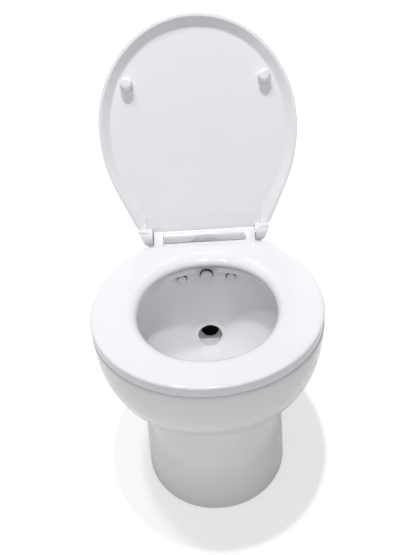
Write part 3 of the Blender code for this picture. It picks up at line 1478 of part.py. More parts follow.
def macerator_cover():
    near = cover_near()
    profile = [(0.0, near + COVER_THICKNESS), (HOUSING_RADIUS - RING_LIP, near + COVER_THICKNESS),
               (HOUSING_RADIUS - RING_LIP, near + COVER_THICKNESS / 2),
               (HOUSING_RADIUS, near + COVER_THICKNESS / 2),
               (HOUSING_RADIUS, near), (0.0, near)]
    return turned("macerator_cover", profile, ROOT, ((0.12, 0.12, 0.13), 0.45), at=pump_x(0.0), along=-X,
                  sides=FINE)


def cover_ring():
    """The screw ring that holds the cover against the housing."""
    near, lip = CHAMBER_LEFT - RING_WALL - RING_LIP, cover_near() + COVER_THICKNESS / 2 + TOUCH
    inner, outer = HOUSING_RADIUS + TOUCH, HOUSING_RADIUS + RING_WALL
    mouth = HOUSING_RADIUS - RING_LIP + TOUCH
    profile = [(mouth, lip + RING_LIP), (outer - RING_GRIP, lip + RING_LIP), (outer, lip), (outer, near),
               (inner, near),
               (inner, lip), (mouth, lip)]
    ring = turned("cover_ring", profile, ROOT, ((0.12, 0.12, 0.13), 0.45), at=pump_x(0.0), along=-X,
                  bored=True, sides=FINE)
    notches = []
    for i in range(RING_GRIPS):
        angle = math.radians(360.0) * (i + 0.5) / RING_GRIPS
        away = Vector((0.0, math.cos(angle), math.sin(angle))) * (outer + RING_GRIP)
        notches.append((pump_x(-near + OVERRUN) + away, pump_x(-lip - RING_LIP - OVERRUN) + away))
    for i, ends in enumerate(notches):
        cut(ring, rods(f"ring_grip_{i}", 2 * RING_GRIP, [ends], ROOT, sides=8))
    return ring


def cover_seal():
    near, far = CHAMBER_LEFT + TOUCH, CHAMBER_LEFT + TOUCH + COVER_SEAL_WIDTH
    profile = ring_profile(CHAMBER_RADIUS + TOUCH, HOUSING_RADIUS - TOUCH, near, far)
    return turned("cover_seal", profile, ROOT, ((0.03, 0.03, 0.03), 0.6), at=pump_x(0.0), along=-X,
                  bored=True, sides=FINE)


def socket_floor():
    return OUTLET_FACE - OUTLET_SOCKET_DEPTH


def joker_valve():
    """The one-way duckbill at the pump's outlet, held in its socket by the discharge spout."""
    near = socket_floor() + TOUCH
    flange = near + JOKER_FLANGE
    tip = flange + JOKER_LENGTH
    outer = OUTLET_BORE
    inner = outer - JOKER_WALL
    profile = [(JOKER_TIP / 2, tip), (JOKER_TIP, tip), (outer, flange + JOKER_LENGTH * 0.35),
               (outer, flange),
               (OUTLET_SOCKET, flange), (OUTLET_SOCKET, near), (inner, near),
               (inner, flange + JOKER_LENGTH * 0.3)]
    return turned("joker_valve", profile, ROOT, ((0.03, 0.03, 0.03), 0.6), at=pump_x(OUTLET_SIDE), along=Y,
                  bored=True, sides=ROUND)


def discharge_spout():
    """The discharge fitting: screwed into the outlet's socket, with a ribbed tail for the waste hose."""
    near = socket_floor() + JOKER_FLANGE + 2 * TOUCH
    shoulder = OUTLET_FACE + TOUCH
    collar = shoulder + SPOUT_COLLAR
    far = collar + SPOUT_LENGTH
    bore = OUTLET_BORE + TOUCH
    outer = bore + SPOUT_WALL
    pitch = SPOUT_LENGTH * 0.2
    profile = [(bore, far), (outer - SPOUT_BARB / 2, far)]
    for i in range(SPOUT_BARBS):
        ridge = far - pitch * (i + 1)
        profile += [(outer + SPOUT_BARB, ridge), (outer, ridge - TOUCH)]
    profile += [(outer, collar), (OUTLET_NECK_RADIUS, collar), (OUTLET_NECK_RADIUS, shoulder),
                (OUTLET_SOCKET, shoulder),
                (OUTLET_SOCKET, near), (bore, near)]
    return turned("discharge_spout", profile, ROOT, ((0.12, 0.12, 0.13), 0.45), at=pump_x(OUTLET_SIDE),
                  along=Y, bored=True,
                  sides=ROUND)


# Pump rotor: shaft, impeller, cutter, armature
def impeller_right():
    return CHAMBER_RIGHT - IMPELLER_BEHIND


def grid_right():
    return impeller_right() - IMPELLER_LENGTH - GRID_CLEAR


def cutter_right():
    return grid_right() - GRID_THICKNESS - GRID_CLEAR


def pump_shaft():
    start = cutter_right() - CUTTER_THICKNESS - SHAFT_OVERHANG
    end = BELL_RIGHT - MOTOR_BELL_WALL - TOUCH
    return rods("pump_shaft", SHAFT_RADIUS, [((start, 0.0, 0.0), (end, 0.0, 0.0))], ROTOR,
                ((0.75, 0.75, 0.77), 0.25, 1.0), sides=SMALL)


def fin(name, length_low, length_high, inner, outer, thickness, angle, body):
    """A flat radial fin on the rotor's axis, turned by an angle."""
    item = block(name, (length_low, -thickness / 2, inner), (length_high, thickness / 2, outer), body)
    item.data.transform(Matrix.Rotation(angle, 4, "X"))
    return item


def impeller():
    right = impeller_right()
    left = right - IMPELLER_LENGTH
    hub = turned("impeller", disc_profile(IMPELLER_HUB, left, right), ROTOR, ((0.3, 0.3, 0.32), 0.5),
                 along=X, sides=ROUND)
    fins = []
    for i in range(IMPELLER_VANES):
        angle = math.radians(360.0) * i / IMPELLER_VANES
        fins.append(fin(f"vane_{i}", left, right, IMPELLER_HUB / 2, IMPELLER_RADIUS, VANE_THICKNESS, angle,
                        ROTOR))
    join(hub, *fins)
    bore = rods("impeller_bore", SHAFT_RADIUS + TOUCH,
                [((left - OVERRUN, 0.0, 0.0), (right + OVERRUN, 0.0, 0.0))], ROTOR, sides=SMALL)
    return cut(hub, bore)


def cutter():
    """The steel chopping blade in front of the grid."""
    right = cutter_right()
    left = right - CUTTER_THICKNESS
    hub = rods("cutter_blade", CUTTER_HUB, [((left, 0.0, 0.0), (right, 0.0, 0.0))], ROTOR,
               ((0.7, 0.7, 0.72), 0.3, 1.0))
    arms = [fin(f"arm_{s}", left, right, 0.0, CUTTER_RADIUS, CUTTER_WIDTH, math.radians(90.0) * (1 - s),
                ROTOR) for s in (-1, 1)]
    join(hub, *arms)
    bore = rods("cutter_bore", SHAFT_RADIUS + TOUCH,
                [((left - OVERRUN, 0.0, 0.0), (right + OVERRUN, 0.0, 0.0))], ROTOR, sides=SMALL)
    return cut(hub, bore)


def cutter_grid():
    """The fixed plate behind the blade, slotted so that only chopped waste passes to the impeller."""
    right = grid_right()
    left = right - GRID_THICKNESS
    plate = turned("cutter_grid", ring_profile(SHAFT_RADIUS + GRID_CLEAR, CHAMBER_RADIUS - TOUCH, left,
                                               right), ROOT,
                   ((0.68, 0.68, 0.7), 0.3, 1.0), at=pump_x(0.0), along=X, bored=True, sides=FINE)
    slots = []
    for i in range(GRID_SLOTS):
        angle = math.radians(360.0) * (i + 0.5) / GRID_SLOTS
        slot = fin(f"grid_slot_{i}", left - OVERRUN, right + OVERRUN, GRID_SLOT_INNER, GRID_SLOT_OUTER,
                   GRID_SLOT_WIDTH, angle, ROOT)
        slot.location = PUMP_CENTRE
        slots.append(slot)
    return cut(plate, *slots)


def core_left():
    return CAN_LEFT + (MOTOR_CAN_LENGTH - CORE_LENGTH) / 2 - COMMUTATOR_LENGTH / 2


def armature():
    """Laminated core and commutator on the shaft."""
    left = core_left()
    right = left + CORE_LENGTH
    bore = SHAFT_RADIUS + TOUCH
    end = right + COMMUTATOR_LENGTH + OVERRUN
    profile = [(bore, end), (COMMUTATOR_RADIUS, end), (COMMUTATOR_RADIUS, right), (CORE_RADIUS, right),
               (CORE_RADIUS, left), (bore, left)]
    return turned("motor_armature", profile, ROTOR, ((0.45, 0.25, 0.12), 0.4, 1.0), along=X, bored=True,
                  sides=ROUND)


# Motor
def shaft_seal():
    profile = ring_profile(SHAFT_RADIUS + RUNNING, SEAL_RADIUS, CHAMBER_RIGHT + TOUCH,
                           HOUSING_RIGHT - TOUCH)
    return turned("shaft_seal", profile, ROOT, ((0.03, 0.03, 0.03), 0.6), at=pump_x(0.0), along=X,
                  bored=True, sides=SMALL)


def motor_flange():
    """The plate between pump and motor that carries the front bearing."""
    left, right = MOTOR_LEFT, MOTOR_LEFT + MOTOR_FLANGE
    seat_depth = right - BEARING_WIDTH - TOUCH
    profile = [(BEARING_RADIUS + TOUCH, right), (MOTOR_FLANGE_RADIUS, right), (MOTOR_FLANGE_RADIUS, left),
               (SHAFT_RADIUS + GRID_CLEAR, left), (SHAFT_RADIUS + GRID_CLEAR, seat_depth),
               (BEARING_RADIUS + TOUCH, seat_depth)]
    return turned("motor_flange", profile, ROOT, ((0.55, 0.56, 0.58), 0.4, 1.0), at=pump_x(0.0), along=X,
                  bored=True, sides=FINE)


def motor_bearing():
    right = MOTOR_LEFT + MOTOR_FLANGE - TOUCH
    profile = ring_profile(SHAFT_RADIUS + RUNNING, BEARING_RADIUS, right - BEARING_WIDTH + TOUCH, right)
    return turned("motor_bearing", profile, ROOT, ((0.6, 0.6, 0.62), 0.25, 1.0), at=pump_x(0.0), along=X,
                  bored=True, sides=SMALL)


def motor_can():
    profile = ring_profile(MOTOR_RADIUS - MOTOR_CAN_WALL, MOTOR_RADIUS, CAN_LEFT, CAN_RIGHT)
    return turned("motor_can", profile, ROOT, ((0.16, 0.17, 0.18), 0.35), at=pump_x(0.0), along=X,
                  bored=True, sides=FINE)


def motor_bell():
    """The end cap with the rear bearing cup and the hole for the cable gland."""
    left, right = CAN_RIGHT + TOUCH, BELL_RIGHT
    inside = right - MOTOR_BELL_WALL
    cup = SHAFT_RADIUS + RUNNING
    rim = cup + MOTOR_BELL_WALL
    profile = [(0.0, right), (MOTOR_RADIUS - MOTOR_BELL_WALL, right),
               (MOTOR_RADIUS, right - MOTOR_BELL_WALL), (MOTOR_RADIUS, left),
               (MOTOR_RADIUS - MOTOR_BELL_WALL, left), (MOTOR_RADIUS - MOTOR_BELL_WALL, inside),
               (rim, inside),
               (rim, inside - BEARING_WIDTH), (cup, inside - BEARING_WIDTH), (cup, inside), (0.0, inside)]
    bell = turned("motor_end_bell", profile, ROOT, ((0.16, 0.17, 0.18), 0.35), at=pump_x(0.0), along=X,
                  sides=FINE)
    centre = gland_start()
    return cut(bell, rods("gland_hole", GLAND_RADIUS * 0.7 + TOUCH,
                          [(centre + Y * MOTOR_RADIUS / 2, centre + Y * (MOTOR_RADIUS + OVERRUN))], ROOT,
                          sides=SMALL))


def gland_start():
    return pump_x((CAN_RIGHT + TOUCH + BELL_RIGHT - MOTOR_BELL_WALL) / 2)


def cable_gland():
    """The gland that the motor's lead would leave by, on the rear of the end cap."""
    near = MOTOR_RADIUS + TOUCH
    inner = near - MOTOR_BELL_WALL - TOUCH
    profile = [(GLAND_BORE, near + GLAND_LENGTH), (GLAND_RADIUS * 0.75, near + GLAND_LENGTH),
               (GLAND_RADIUS, near + GLAND_LENGTH * 0.7),
               (GLAND_RADIUS, near), (GLAND_RADIUS * 0.7, near), (GLAND_RADIUS * 0.7, inner),
               (GLAND_BORE, inner)]
    return turned("cable_gland", profile, ROOT, ((0.08, 0.08, 0.08), 0.5), at=gland_start(), along=Y,
                  bored=True, sides=SMALL)


def magnet():
    """The ring magnet bonded inside the can."""
    outer = MOTOR_RADIUS - MOTOR_CAN_WALL - TOUCH
    left = core_left()
    profile = ring_profile(outer - MAGNET_THICKNESS, outer, left, left + CORE_LENGTH)
    return turned("motor_magnet", profile, ROOT, ((0.1, 0.1, 0.11), 0.5), at=pump_x(0.0), along=X,
                  bored=True, sides=FINE)


# Base plate, mounting pad and the fixings through the pedestal's sides
def base_plate():
    """The bent steel plate that carries the pump, with an upright that holds the water valve."""
    left, right = VALVE_X - UPRIGHT_HALF - PLATE_MARGIN, BELL_RIGHT - PLATE_MARGIN
    front = PUMP_CENTRE.y - FOOT_HALF_WIDTH - PLATE_MARGIN
    rear = UPRIGHT_FORWARD + UPRIGHT_THICKNESS
    plate = block("base_plate", (left, front, 0.0), (right, rear, PLATE_THICKNESS), ROOT,
                  ((0.62, 0.63, 0.65), 0.35, 1.0))
    upright = block("upright", (VALVE_X - UPRIGHT_HALF, UPRIGHT_FORWARD, PLATE_THICKNESS / 2),
                    (VALVE_X + UPRIGHT_HALF, rear, VALVE_Z + VALVE_COLLAR_RADIUS + PLATE_MARGIN), ROOT)
    hole = [((VALVE_X, UPRIGHT_FORWARD - OVERRUN, VALVE_Z), (VALVE_X, rear + OVERRUN, VALVE_Z))]
    join(plate, upright)
    return cut(plate, rods("upright_hole", VALVE_INLET_RADIUS + TOUCH, hole, ROOT))


def mount_pad():
    """The rubber mat between the pump's foot and the base plate."""
    low = PLATE_THICKNESS + TOUCH
    return block("pump_mount_pad", (foot_left(), PUMP_CENTRE.y - FOOT_HALF_WIDTH, low),
                 (HOUSING_RIGHT - TOUCH, PUMP_CENTRE.y + FOOT_HALF_WIDTH, low + FOOT_PAD_HEIGHT), ROOT,
                 ((0.04, 0.04, 0.04), 0.7), bevel=CAP_ROUND)


def floor_brackets():
    """Two moulded angles on the floor inside the pedestal, which the side screws pull the china on to."""
    face = wall_x(FIXING_FORWARD - BRACKET_WIDTH, BRACKET_HEIGHT) - CHINA_WALL - 3 * TOUCH
    inside = face - BRACKET_THICKNESS
    near, far = -FIXING_FORWARD - BRACKET_WIDTH / 2, -FIXING_FORWARD + BRACKET_WIDTH / 2
    for s, side in SIDES:
        low_x, high_x = sorted((s * inside, s * face))
        angle = block(f"floor_bracket_{side}", (low_x, near, 0.0), (high_x, far, BRACKET_HEIGHT), ROOT,
                      ((0.8, 0.8, 0.8), 0.5))
        low_x, high_x = sorted((s * (face - BRACKET_FOOT), s * (inside + BRACKET_THICKNESS / 2)))
        foot = block(f"bracket_foot_{side}", (low_x, near, 0.0), (high_x, far, BRACKET_THICKNESS), ROOT)
        hole = [((s * (inside - OVERRUN), -FIXING_FORWARD, FIXING_HEIGHT),
                 (s * (face + OVERRUN), -FIXING_FORWARD, FIXING_HEIGHT))]
        join(angle, foot)
        cut(angle, rods(f"bracket_hole_{side}", FIXING_SCREW + TOUCH, hole, ROOT, sides=SMALL))


def fixing_screws():
    near = cap_floor() + TOUCH
    far = near + FIXING_HEAD
    end = near - FIXING_SCREW_LENGTH
    profile = [(0.0, far), (FIXING_HEAD_RADIUS, far), (FIXING_HEAD_RADIUS, near), (FIXING_SCREW, near),
               (FIXING_SCREW, end),
               (0.0, end)]
    for s, side in SIDES:
        turned(f"fixing_screw_{side}", profile, ROOT, ((0.7, 0.7, 0.72), 0.3, 1.0),
               at=(0.0, -FIXING_FORWARD, FIXING_HEIGHT),
               along=X * s, sides=SMALL)


def screw_caps():
    near = cap_floor() + TOUCH
    hollow = near + FIXING_HEAD + TOUCH
    far = hollow + CAP_THICKNESS - CAP_ROUND
    inner = FIXING_HEAD_RADIUS + TOUCH
    profile = [(0.0, far), (CAP_RADIUS - CAP_ROUND, far), (CAP_RADIUS, far - CAP_ROUND), (CAP_RADIUS, near),
               (inner, near),
               (inner, hollow), (0.0, hollow)]
    for s, side in SIDES:
        turned(f"screw_cap_{side}", profile, ROOT, ((0.88, 0.89, 0.9), 0.3),
               at=(0.0, -FIXING_FORWARD, FIXING_HEIGHT),
               along=X * s, sides=ROUND)


def lowest_and_highest():
    """The box round every piece, in the world."""
    bpy.context.view_layer.update()
    graph = bpy.context.evaluated_depsgraph_get()
    corners = []
    for item in PARTS.objects:
        if item.type != "MESH":
            continue
        shown = item.evaluated_get(graph)
        corners += [shown.matrix_world @ v.co for v in shown.data.vertices]
    low = Vector([min(c[i] for c in corners) for i in range(3)])
    high = Vector([max(c[i] for c in corners) for i in range(3)])
    return low, high


clear_scene()
PARTS = new_collection("marine_toilet")
CUTTERS = new_collection("cutters")
ROOT = new_body("toilet")
SEAT = new_body("seat_hinge", location=(0.0, 0.0, HINGE_HEIGHT), parent=ROOT)
LID = new_body("lid_hinge", location=(0.0, 0.0, HINGE_HEIGHT), turn=-math.radians(LID_CLOSED_TURN),
               parent=ROOT)
BUTTON = new_body("button_slide", parent=ROOT)
ROTOR = new_body("rotor_axis", location=PUMP_CENTRE, parent=ROOT)
PLUNGER = new_body("plunger_slide", parent=ROOT)

ceramic_bowl()
seat()
seat_buffers()
lid()
lid_buffers()
dampers()
hinge_bar()
release_button()
button_spring()
hinge_pins()
hinge_studs()
wing_nuts()
water_manifold()
nozzles()
valve_body()
valve_guide()
valve_diaphragm()
valve_plunger()
plunger_spring()
valve_coil()
flush_hose()
hose_clamps()
pump_gasket()
macerator_housing()
macerator_cover()
cover_ring()
cover_seal()
joker_valve()
discharge_spout()
pump_shaft()
impeller()
cutter()
cutter_grid()
armature()
shaft_seal()
motor_flange()
motor_bearing()
motor_can()
motor_bell()
cable_gland()
magnet()
base_plate()
mount_pad()
floor_brackets()
fixing_screws()
screw_caps()

LOW, HIGH = lowest_and_highest()
ROOT.location = (-(LOW.x + HIGH.x) / 2, -(LOW.y + HIGH.y) / 2, -LOW.z)
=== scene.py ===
import json
import math

import bmesh
import bpy
from mathutils import Matrix, Vector


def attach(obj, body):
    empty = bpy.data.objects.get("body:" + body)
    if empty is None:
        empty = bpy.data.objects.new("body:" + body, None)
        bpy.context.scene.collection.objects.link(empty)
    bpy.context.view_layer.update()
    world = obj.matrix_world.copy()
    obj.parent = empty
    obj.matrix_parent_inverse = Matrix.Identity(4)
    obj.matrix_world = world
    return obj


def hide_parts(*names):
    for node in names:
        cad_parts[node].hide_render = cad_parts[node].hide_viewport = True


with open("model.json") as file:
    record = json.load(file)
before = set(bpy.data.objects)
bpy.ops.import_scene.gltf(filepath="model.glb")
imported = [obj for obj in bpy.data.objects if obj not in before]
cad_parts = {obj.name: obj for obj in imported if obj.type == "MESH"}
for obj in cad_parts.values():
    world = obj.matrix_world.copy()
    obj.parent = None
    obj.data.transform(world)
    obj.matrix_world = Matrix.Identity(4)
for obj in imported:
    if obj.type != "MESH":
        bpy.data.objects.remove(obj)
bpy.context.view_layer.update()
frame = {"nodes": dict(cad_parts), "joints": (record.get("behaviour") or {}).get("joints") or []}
nodes = frame["nodes"]
hinge = Vector(next(j for j in frame["joints"] if j["name"] == "lid_hinge")["pos_m"])
bpy.ops.object.select_all(action="DESELECT")


# Floor, daylight and camera.
# A seamless white studio floor under two small overhead lamps, with broad low fills in front and behind,
# faint windows behind and soft daylight. The floor glows a little, more so far out, and keeps the shadow.
FLOOR_HALF = 40.0
FLOOR_WHITE, CARD_WHITE = (0.80, 0.80, 0.80, 1), (1, 1, 1, 1)
FLOOR_GLOW, FAR_GLOW, GLOW_NEAR, GLOW_FAR, FLOOR_MIRRORED = 0.46, 1.0, 0.45, 1.6, 0.15
SKY_LEVEL, SKY_HIGH, SKY_HIGH_AT = (0.31, 0.31, 0.32), (0.29, 0.292, 0.30), 0.75
OVER_BOWL, OVER_HINGE, NEAR_FOOT = (0, -0.1, 0.35), (0, 0, 0.35), (0, 0, 0.15)
CAMERA_PLACE = Vector((0.0114, -0.7440, 0.7307))
CAMERA_PITCH, CAMERA_YAW, CAMERA_ROLL = 32.88, -0.74, -3.69
FOCAL_PIXELS, PHOTO_TALL, SENSOR = 430.0, 555.0, 36.0


def add(tree, kind, **sockets):
    """A shader node of a kind, with values for the sockets named."""
    node = tree.nodes.new(f"ShaderNode{kind}")
    for socket, value in sockets.items():
        node.inputs[socket.replace("_", " ")].default_value = value
    return node


def maths(tree, operation, *parts):
    """The result of a Math node on sockets and numbers."""
    node = add(tree, "Math")
    node.operation = operation
    for socket, part in zip(node.inputs, parts):
        if isinstance(part, float):
            socket.default_value = part
        else:
            tree.links.new(part, socket)
    return node.outputs[0]


def shaded(tree, factor, low, high, low_at, high_at):
    """A colour that goes from one shade to another between two values of the factor."""
    ramp = add(tree, "ValToRGB")
    for stop, at, colour in zip(ramp.color_ramp.elements, (low_at, high_at), (low, high)):
        stop.position = at
        stop.color = (*colour, 1)
    tree.links.new(factor, ramp.inputs["Fac"])
    return ramp.outputs["Color"]


bpy.ops.mesh.primitive_plane_add(size=2 * FLOOR_HALF, location=(0, 0, 0))
floor = bpy.context.object
floor.name = "studio_floor"
floor_paint = bpy.data.materials.new("studio_white")
floor_paint.use_nodes = True
tree = floor_paint.node_tree
tree.nodes.clear()
spot = add(tree, "TexCoord")
away = add(tree, "VectorMath")
away.operation = "LENGTH"
tree.links.new(spot.outputs["Object"], away.inputs[0])
glow = add(tree, "MapRange", From_Min=GLOW_NEAR, From_Max=GLOW_FAR, To_Min=FLOOR_GLOW, To_Max=FAR_GLOW)
glow.interpolation_type = "SMOOTHSTEP"
tree.links.new(away.outputs["Value"], glow.inputs["Value"])
rays = add(tree, "LightPath")
direct = maths(tree, "MULTIPLY", rays.outputs["Is Camera Ray"], glow.outputs["Result"])
mirrored = maths(tree, "MAXIMUM", rays.outputs["Is Glossy Ray"], rays.outputs["Is Transmission Ray"])
dimmed = maths(tree, "MULTIPLY", mirrored, FLOOR_MIRRORED)
lit = add(tree, "Emission", Color=CARD_WHITE)
tree.links.new(maths(tree, "ADD", direct, dimmed), lit.inputs["Strength"])
matt = add(tree, "BsdfDiffuse", Color=FLOOR_WHITE)
both = add(tree, "AddShader")
output = add(tree, "OutputMaterial")
tree.links.new(matt.outputs[0], both.inputs[0])
tree.links.new(lit.outputs[0], both.inputs[1])
tree.links.new(both.outputs[0], output.inputs["Surface"])
floor.data.materials.append(floor_paint)

world = bpy.data.worlds.new("daylight")
bpy.context.scene.world = world
world.use_nodes = True
tree = world.node_tree
tree.nodes.clear()
spot = add(tree, "TexCoord")
split = add(tree, "SeparateXYZ")
tree.links.new(spot.outputs["Generated"], split.inputs[0])
sky = add(tree, "Background")
tree.links.new(shaded(tree, split.outputs["Z"], SKY_LEVEL, SKY_HIGH, 0.0, SKY_HIGH_AT), sky.inputs["Color"])
card = add(tree, "Background", Color=CARD_WHITE, Strength=1.0)
rays = add(tree, "LightPath")
direct = maths(tree, "MAXIMUM", rays.outputs["Is Camera Ray"], rays.outputs["Is Glossy Ray"])
shown = maths(tree, "MAXIMUM", direct, rays.outputs["Is Transmission Ray"])
choose = add(tree, "MixShader")
output = add(tree, "OutputWorld")
tree.links.new(shown, choose.inputs["Fac"])
tree.links.new(sky.outputs[0], choose.inputs[1])
tree.links.new(card.outputs[0], choose.inputs[2])
tree.links.new(choose.outputs[0], output.inputs["Surface"])


def soft_light(name, place, aim, wide, tall, watts):
    bpy.ops.object.light_add(type="AREA", location=place)
    lamp = bpy.context.object
    lamp.name = name
    lamp.rotation_euler = (Vector(aim) - Vector(place)).to_track_quat("-Z", "Y").to_euler()
    lamp.data.shape = "RECTANGLE"
    lamp.data.size = wide
    lamp.data.size_y = tall
    lamp.data.energy = watts


soft_light("top_lamp", (-0.02, -0.096, 2.30), OVER_BOWL, 0.07, 0.07, 19.5)
soft_light("left_lamp", (-0.46, 0.074, 2.30), OVER_BOWL, 0.15, 0.15, 10.5)
soft_light("back_left_window", (-0.80, 1.85, 1.90), OVER_HINGE, 0.8, 0.9, 0.35)
soft_light("back_right_window", (0.80, 1.95, 1.70), OVER_HINGE, 0.35, 1.0, 0.4)
soft_light("back_fill", (0.0, 2.60, 0.80), OVER_HINGE, 2.2, 0.9, 8)
soft_light("front_fill", (0.3, -2.2, 1.5), OVER_HINGE, 1.8, 1.4, 4.8)
soft_light("low_fill", (-0.9, -2.2, 0.3), NEAR_FOOT, 1.6, 0.5, 4)

pitch, yaw, roll = (math.radians(a) for a in (CAMERA_PITCH, CAMERA_YAW, CAMERA_ROLL))
ahead = Vector((math.sin(yaw) * math.cos(pitch), math.cos(yaw) * math.cos(pitch), -math.sin(pitch)))
right = Vector((math.cos(yaw), -math.sin(yaw), 0.0))
up = right.cross(ahead)
right, up = (
    math.cos(roll) * right + math.sin(roll) * up,
    -math.sin(roll) * right + math.cos(roll) * up,
)
bpy.ops.object.camera_add()
camera = bpy.context.object
camera.name = "photo_camera"
camera.matrix_world = Matrix.Translation(CAMERA_PLACE + Vector((0, hinge.y, 0))) @ Matrix(
    (right, up, -ahead)
).transposed().to_4x4()
camera.data.sensor_fit = "VERTICAL"
camera.data.sensor_height = SENSOR
camera.data.lens = FOCAL_PIXELS * SENSOR / PHOTO_TALL
bpy.context.scene.camera = camera
bpy.context.scene.view_settings.view_transform = "Standard"


# China bowl and pedestal.
# One casting of vitreous china under a thick clear glaze: a straight-sided pedestal, a bowl that swells out
# of it, a flat rim 15 mm thick, and a hollow underside open to the floor and to the rear for the pump.
FRONT_STEPS, ROUND_STEPS, SIDE_STEPS, CORNER_STEPS, REAR_STEPS = 30, 12, 10, 6, 8
PEDESTAL_STEPS, BOWL_STEPS, BOWL_SPREAD = 8, 22, 1.25
CHINA_TOP, SLAB, WALL, REAR, CHINA_CORNER = 0.321, 0.015, 0.009, 0.045, 0.020
FOOT_HALF, FOOT_MIDDLE, FOOT_REAR_SHARE, PEDESTAL_TOP = 0.128, 0.2134, 0.955, 0.190
NECK_HALF, NECK_MIDDLE, NECK_FRONT, NECK_REAR_HALF, NECK_BACK = 0.1155, 0.2203, 0.3358, 0.1103, 0.8
RIM_HALF, RIM_MIDDLE, RIM_FRONT, RIM_REAR_HALF, RIM_BACK = 0.1815, 0.1906, 0.3830, 0.1040, 0.2129
SWELL_POWER, TUCK_POWER = 3.85, 1.27
FOOT_EDGE, RIM_EDGE = 0.0015, 0.004
MOUTH_HALF, MOUTH_FRONT, MOUTH_REAR = 0.115, 0.339, 0.0725
MOUTH_ROUND, MOUTH_FOOT_ROUND, MOUTH_FLARE = 0.005, 0.003, 0.009
SEAT_HALF, SEAT_MIDDLE, SEAT_FRONT, SEAT_BACK = 0.180, 0.1906, 0.3836, 0.2129
SEAT_REAR_HALF, SEAT_REAR, SEAT_CORNER = 0.124, 0.020, 0.009
ARCH_HALF, ARCH_TOP, ARCH_LOW, ARCH_START, ARCH_ROUND = 0.085, 0.250, -0.04, 0.032, 0.028
NOTCH_HALF, NOTCH_NEAR, NOTCH_FAR, NOTCH_LOW, NOTCH_SKIN = 0.0198, 0.0555, 0.085, 0.300, 0.003
STUD_X, STUD_HOLE, STUD_LOW, STUD_HIGH = 0.060, 0.0055, 0.300, 0.330
SCREW_FORWARD, SCREW_Z, SCREW_HOLE, CAP_SEAT, CAP_DEPTH_X = 0.110, 0.028, 0.004, 0.0088, 0.1213
SCREW_IN_X, SCREW_OUT_X = 0.10, 0.14
OVERRUN = 0.004
GLAZE, GLAZE_CLOUDS, GLAZE_SWELLS, SMEAR_LEAST, SMEAR_MOST = (0.82, 0.825, 0.835), 5.0, 22.0, 0.7, 1.4


def mix(start, end, share):
    return start + (end - start) * share


def outline(half, middle, front, back, rear_half, rear, corner, power=2.04, inset=0.0):
    """Points (side, forward) round a plan shape: superellipse front, straight tapering sides, flat rear."""
    half, front, back = half - inset, front - middle - inset, back - inset
    rear_half, rear = rear_half - inset, rear + inset
    along = (middle - rear) / back
    if along < 1:
        rear_half = max(rear_half, half * math.sqrt(1 - along**2) * 1.004)
    across = rear_half / half
    start = math.atan2(along, across) - math.acos(min(1.0, 1.0 / math.hypot(across, along)))
    tangent = Vector((half * math.cos(start), middle - back * math.sin(start)))
    square = Vector((rear_half, rear))
    run = (tangent - square).normalized()
    trim = max(corner - inset, corner / 3)
    first, last = square + run * trim, square - Vector((trim, 0))
    side = []
    for i in range(FRONT_STEPS + 1):
        angle = math.radians(90) * (1 - i / FRONT_STEPS)
        reach = half * math.cos(angle) ** (2 / power) if i else 0.0
        side.append(Vector((reach, middle + front * math.sin(angle) ** (2 / power))))
    for i in range(1, ROUND_STEPS + 1):
        angle = start * i / ROUND_STEPS
        side.append(Vector((half * math.cos(angle), middle - back * math.sin(angle))))
    side += [tangent.lerp(first, i / SIDE_STEPS) for i in range(1, SIDE_STEPS + 1)]
    for i in range(1, CORNER_STEPS + 1):
        share = i / CORNER_STEPS
        side.append(first.lerp(square, share).lerp(square.lerp(last, share), share))
    side += [last.lerp(Vector((0, rear)), i / REAR_STEPS) for i in range(1, REAR_STEPS + 1)]
    return side + [Vector((-p.x, p.y)) for p in reversed(side[1:-1])]


def egg(half, front, rear, guide, power=2.2, grow=0.0):
    """An egg shape with one point in the direction of each point of the guide."""
    middle, length, half = (front + rear) / 2, (front - rear) / 2 + grow, half + grow
    ring = []
    for p in guide:
        away = Vector((p.x, p.y - middle)).normalized()
        size = (abs(away.x) / half) ** power + (abs(away.y) / length) ** power
        ring.append(Vector((0, middle)) + away * size ** (-1 / power))
    return ring


def quarter(radius, steps):
    """Pairs (1 - cosine, 1 - sine) along a quarter round, times its radius."""
    turns = [math.radians(90) * i / steps for i in range(steps + 1)]
    return [(radius * (1 - math.cos(t)), radius * (1 - math.sin(t))) for t in turns]


def level(ring, z):
    """A ring of (side, forward) points at a height above the floor."""
    return [Vector((p.x, hinge.y - p.y, z)) for p in ring]


